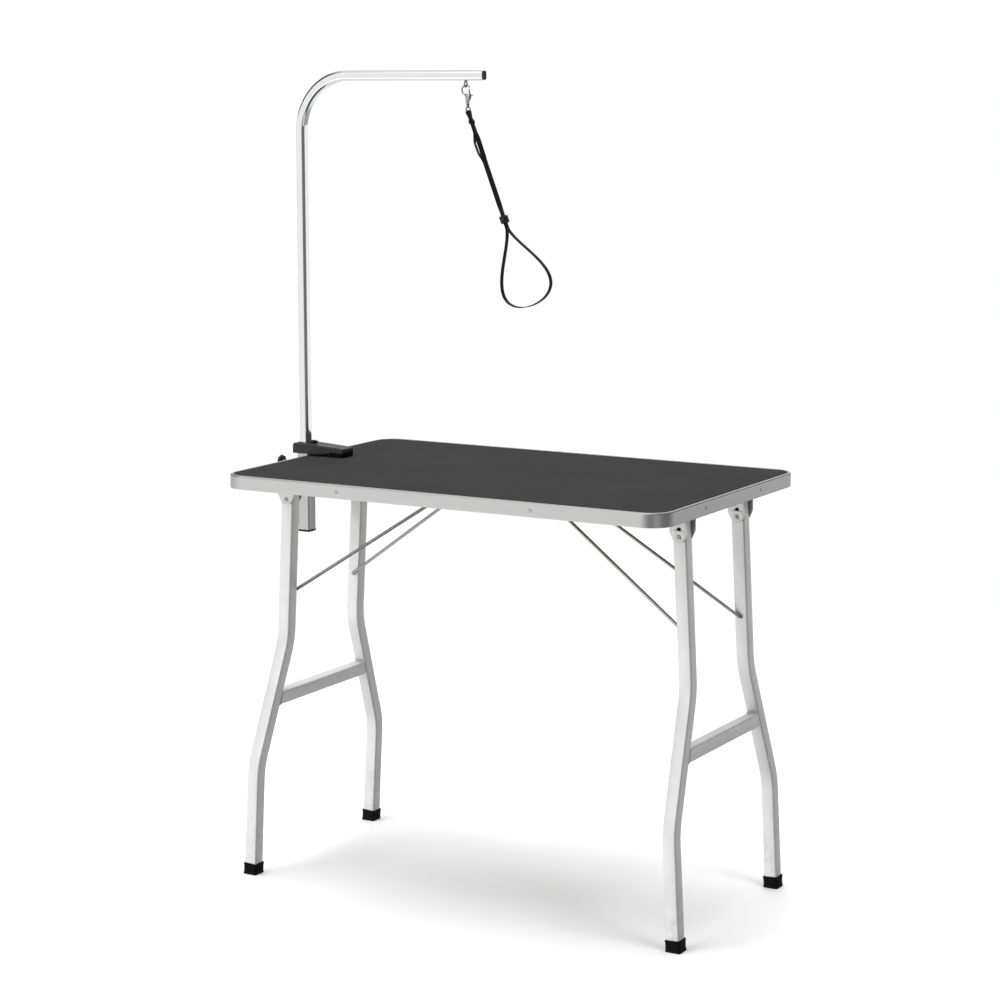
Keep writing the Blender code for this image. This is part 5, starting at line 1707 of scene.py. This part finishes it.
# ============================================================== floor and world
def make_floor():
    """Pale floor that melts into the backdrop away from the object; unseen from below."""
    look = Shader("studio_floor")
    mesh = bpy.data.meshes.new("studio_floor")
    half = 9.0
    corners = [(-half, -half), (half, -half), (half, half), (-half, half)]
    mesh.from_pydata([(x, y, -FLOOR) for x, y in corners], [], [(0, 1, 2, 3)])
    obj = bpy.data.objects.new("studio_floor", mesh)
    bpy.context.scene.collection.objects.link(obj)
    mesh.materials.append(look.material)
    distance = look.node("ShaderNodeVectorMath", {0: look.coords.outputs["Object"]},
                         operation="LENGTH").outputs["Value"]
    far = look.span(distance, over=(1.5, 3.2))
    below = look.node("ShaderNodeNewGeometry").outputs["Backfacing"]
    look.set(Base_Color=(0.895, 0.895, 0.90, 1.0), Roughness=0.75, Specular_IOR_Level=0.1)
    clear = look.node("ShaderNodeBsdfTransparent")
    mixer = look.node("ShaderNodeMixShader", {0: look.math("MAXIMUM", far, below),
                                              1: look.principled.outputs[0],
                                              2: clear.outputs[0]})
    look.link(mixer.outputs[0], look.output.inputs[0])
    obj.visible_diffuse = False
    obj.visible_glossy = False
    return obj


# Studio brightness as (azimuth in degrees, level); 0 is +X and -90 the front.
STUDIO_DEEP = [
    (-180, 0.85), (-150, 0.90), (-120, 0.90), (-102, 0.50), (-90, 0.12), (22, 0.12),
    (45, 0.90), (130, 0.95), (180, 0.85)]
STUDIO_BELOW = [
    (-180, 0.70), (-150, 1.20), (-134, 1.62), (-120, 1.58), (-98, 1.20), (-84, 0.45),
    (-60, 0.32), (-50, 0.60), (-42, 0.95), (-30, 0.95), (-20, 0.45), (0, 0.32), (30, 0.34),
    (38, 0.38), (50, 0.38), (68, 0.40), (84, 0.78), (110, 0.85), (126, 0.45), (150, 0.50),
    (180, 0.70)]
STUDIO_LEVEL = [
    (-180, 0.80), (-150, 0.88), (-134, 1.02), (-120, 0.92), (-106, 0.82), (-94, 0.40),
    (-80, 0.16), (-40, 0.18), (18, 0.14), (34, 0.38), (46, 0.96), (72, 1.02), (86, 0.78),
    (102, 0.55), (125, 0.75), (155, 0.80), (180, 0.80)]
STUDIO_ABOVE = [
    (-180, 0.05), (-156, 0.05), (-142, 0.06), (-137, 0.12), (-128, 0.95), (-120, 1.50),
    (-100, 1.30), (-85, 0.50), (-60, 0.20), (-30, 0.16), (0, 0.10), (80, 0.10), (100, 0.85),
    (126, 0.90), (137, 0.06), (180, 0.05)]
STUDIO_TOP = [
    (-180, 0.75), (-150, 1.00), (-120, 1.50), (-90, 1.20), (-60, 0.75), (0, 0.35),
    (60, 0.35), (120, 0.75), (180, 0.75)]
# Each band takes over from the one below it between two elevations in degrees.
STUDIO_BANDS = [(STUDIO_BELOW, -34, -24), (STUDIO_LEVEL, -10.2, -8.0), (STUDIO_ABOVE, 3, 8),
                (STUDIO_TOP, 34, 52)]


def make_world():
    """White to the camera; for light and reflections a soft studio with dark flags."""
    world = bpy.data.worlds.new("studio")
    bpy.context.scene.world = world
    world.use_nodes = True
    tree = world.node_tree
    tree.nodes.clear()
    link = tree.links.new

    def put(kind, **props):
        node = tree.nodes.new(kind)
        for key, value in props.items():
            setattr(node, key, value)
        return node

    output = put("ShaderNodeOutputWorld")
    view = put("ShaderNodeSeparateXYZ")
    link(put("ShaderNodeTexCoord").outputs["Generated"], view.inputs[0])
    azimuth = put("ShaderNodeMath", operation="ARCTAN2")
    link(view.outputs[1], azimuth.inputs[0])
    link(view.outputs[0], azimuth.inputs[1])
    turn = put("ShaderNodeMapRange")
    link(azimuth.outputs[0], turn.inputs[0])
    turn.inputs[1].default_value = -math.pi
    turn.inputs[2].default_value = math.pi

    def band(stops):
        ramp = put("ShaderNodeValToRGB")
        link(turn.outputs[0], ramp.inputs[0])
        elements = ramp.color_ramp.elements
        while len(elements) > 1:
            elements.remove(elements[-1])
        elements[0].position = 0.0
        elements[0].color = (*grey(stops[0][1]), 1)
        for degrees, level in stops[1:]:
            elements.new((degrees + 180) / 360).color = (*grey(level), 1)
        return ramp.outputs[0]

    sky = band(STUDIO_DEEP)
    for stops, start, full in STUDIO_BANDS:
        upper = band(stops)
        rise = put("ShaderNodeMapRange", interpolation_type="SMOOTHSTEP")
        link(view.outputs[2], rise.inputs[0])
        rise.inputs[1].default_value = math.sin(math.radians(start))
        rise.inputs[2].default_value = math.sin(math.radians(full))
        mix = put("ShaderNodeMix", data_type="RGBA")
        link(rise.outputs[0], mix.inputs[0])
        link(sky, mix.inputs[6])
        link(upper, mix.inputs[7])
        sky = mix.outputs[2]
    studio = put("ShaderNodeBackground")
    link(sky, studio.inputs[0])
    white = put("ShaderNodeBackground")
    white.inputs[0].default_value = (1, 1, 1, 1)
    white.inputs[1].default_value = 1.02
    mixer = put("ShaderNodeMixShader")
    link(put("ShaderNodeLightPath").outputs["Is Camera Ray"], mixer.inputs[0])
    link(studio.outputs[0], mixer.inputs[1])
    link(white.outputs[0], mixer.inputs[2])
    link(mixer.outputs[0], output.inputs[0])


# ============================================================ lights and camera
def aim(obj, at, facing):
    """Puts the object at a place with its -Z along 'facing'."""
    obj.location = at
    obj.rotation_mode = "QUATERNION"
    obj.rotation_quaternion = facing.to_track_quat("-Z", "Y")


def area(name, at, size, power):
    """Rectangular light aimed at the table, unseen in reflections."""
    target = (0, 0, -0.1)
    light = bpy.data.lights.new(name, "AREA")
    light.shape = "RECTANGLE"
    light.size, light.size_y = size
    light.energy = power
    light.spread = math.pi
    obj = bpy.data.objects.new(name, light)
    bpy.context.scene.collection.objects.link(obj)
    aim(obj, at, Vector(target) - Vector(at))
    obj.visible_glossy = False
    return obj


def make_lights(floor):
    """The key skips the floor, which has a key and a fill of its own."""
    key = area("key", at=(-2.6, -3.4, 2.9), size=(2.2, 2.2), power=115.0)
    area("overhead", at=(-0.5, 0.3, 3.2), size=(3.2, 2.6), power=185.0)
    floor_key = area("floor_key", at=(3.3, -0.9, 2.5), size=(1.7, 1.7), power=72.0)
    floor_fill = area("floor_fill", at=(-2.6, -3.4, 2.9), size=(2.6, 2.6), power=52.0)
    for light, state in ((key, "EXCLUDE"), (floor_key, "INCLUDE"), (floor_fill, "INCLUDE")):
        receivers = bpy.data.collections.new(light.name + "_on_floor")
        receivers.objects.link(floor)
        light.light_linking.receiver_collection = receivers
        receivers.collection_objects[0].light_linking.link_state = state


def make_camera():
    """Camera at the front right, a little above the table."""
    azimuth, elevation, roll = math.radians(29.95), math.radians(9.35), math.radians(-0.07)
    distance = 4.747
    target = Vector((-0.0232, 0.0, -0.0533))
    camera = bpy.data.cameras.new("camera")
    camera.lens = 91.73
    camera.sensor_width = 36.0
    camera.clip_start = 0.05
    camera.clip_end = 60.0
    obj = bpy.data.objects.new("camera", camera)
    scene = bpy.context.scene
    scene.collection.objects.link(obj)
    back = Vector((math.sin(azimuth) * math.cos(elevation),
                   -math.cos(azimuth) * math.cos(elevation), math.sin(elevation)))
    aim(obj, target + back * distance, -back)
    obj.rotation_quaternion = ((-back).to_track_quat("-Z", "Y")
                               @ Matrix.Rotation(roll, 3, "Z").to_quaternion())
    scene.camera = obj
    scene.view_settings.view_transform = "Standard"
    scene.view_settings.look = "None"


studio_floor = make_floor()
make_world()
make_lights(studio_floor)
make_camera()

bpy.context.view_layer.update()
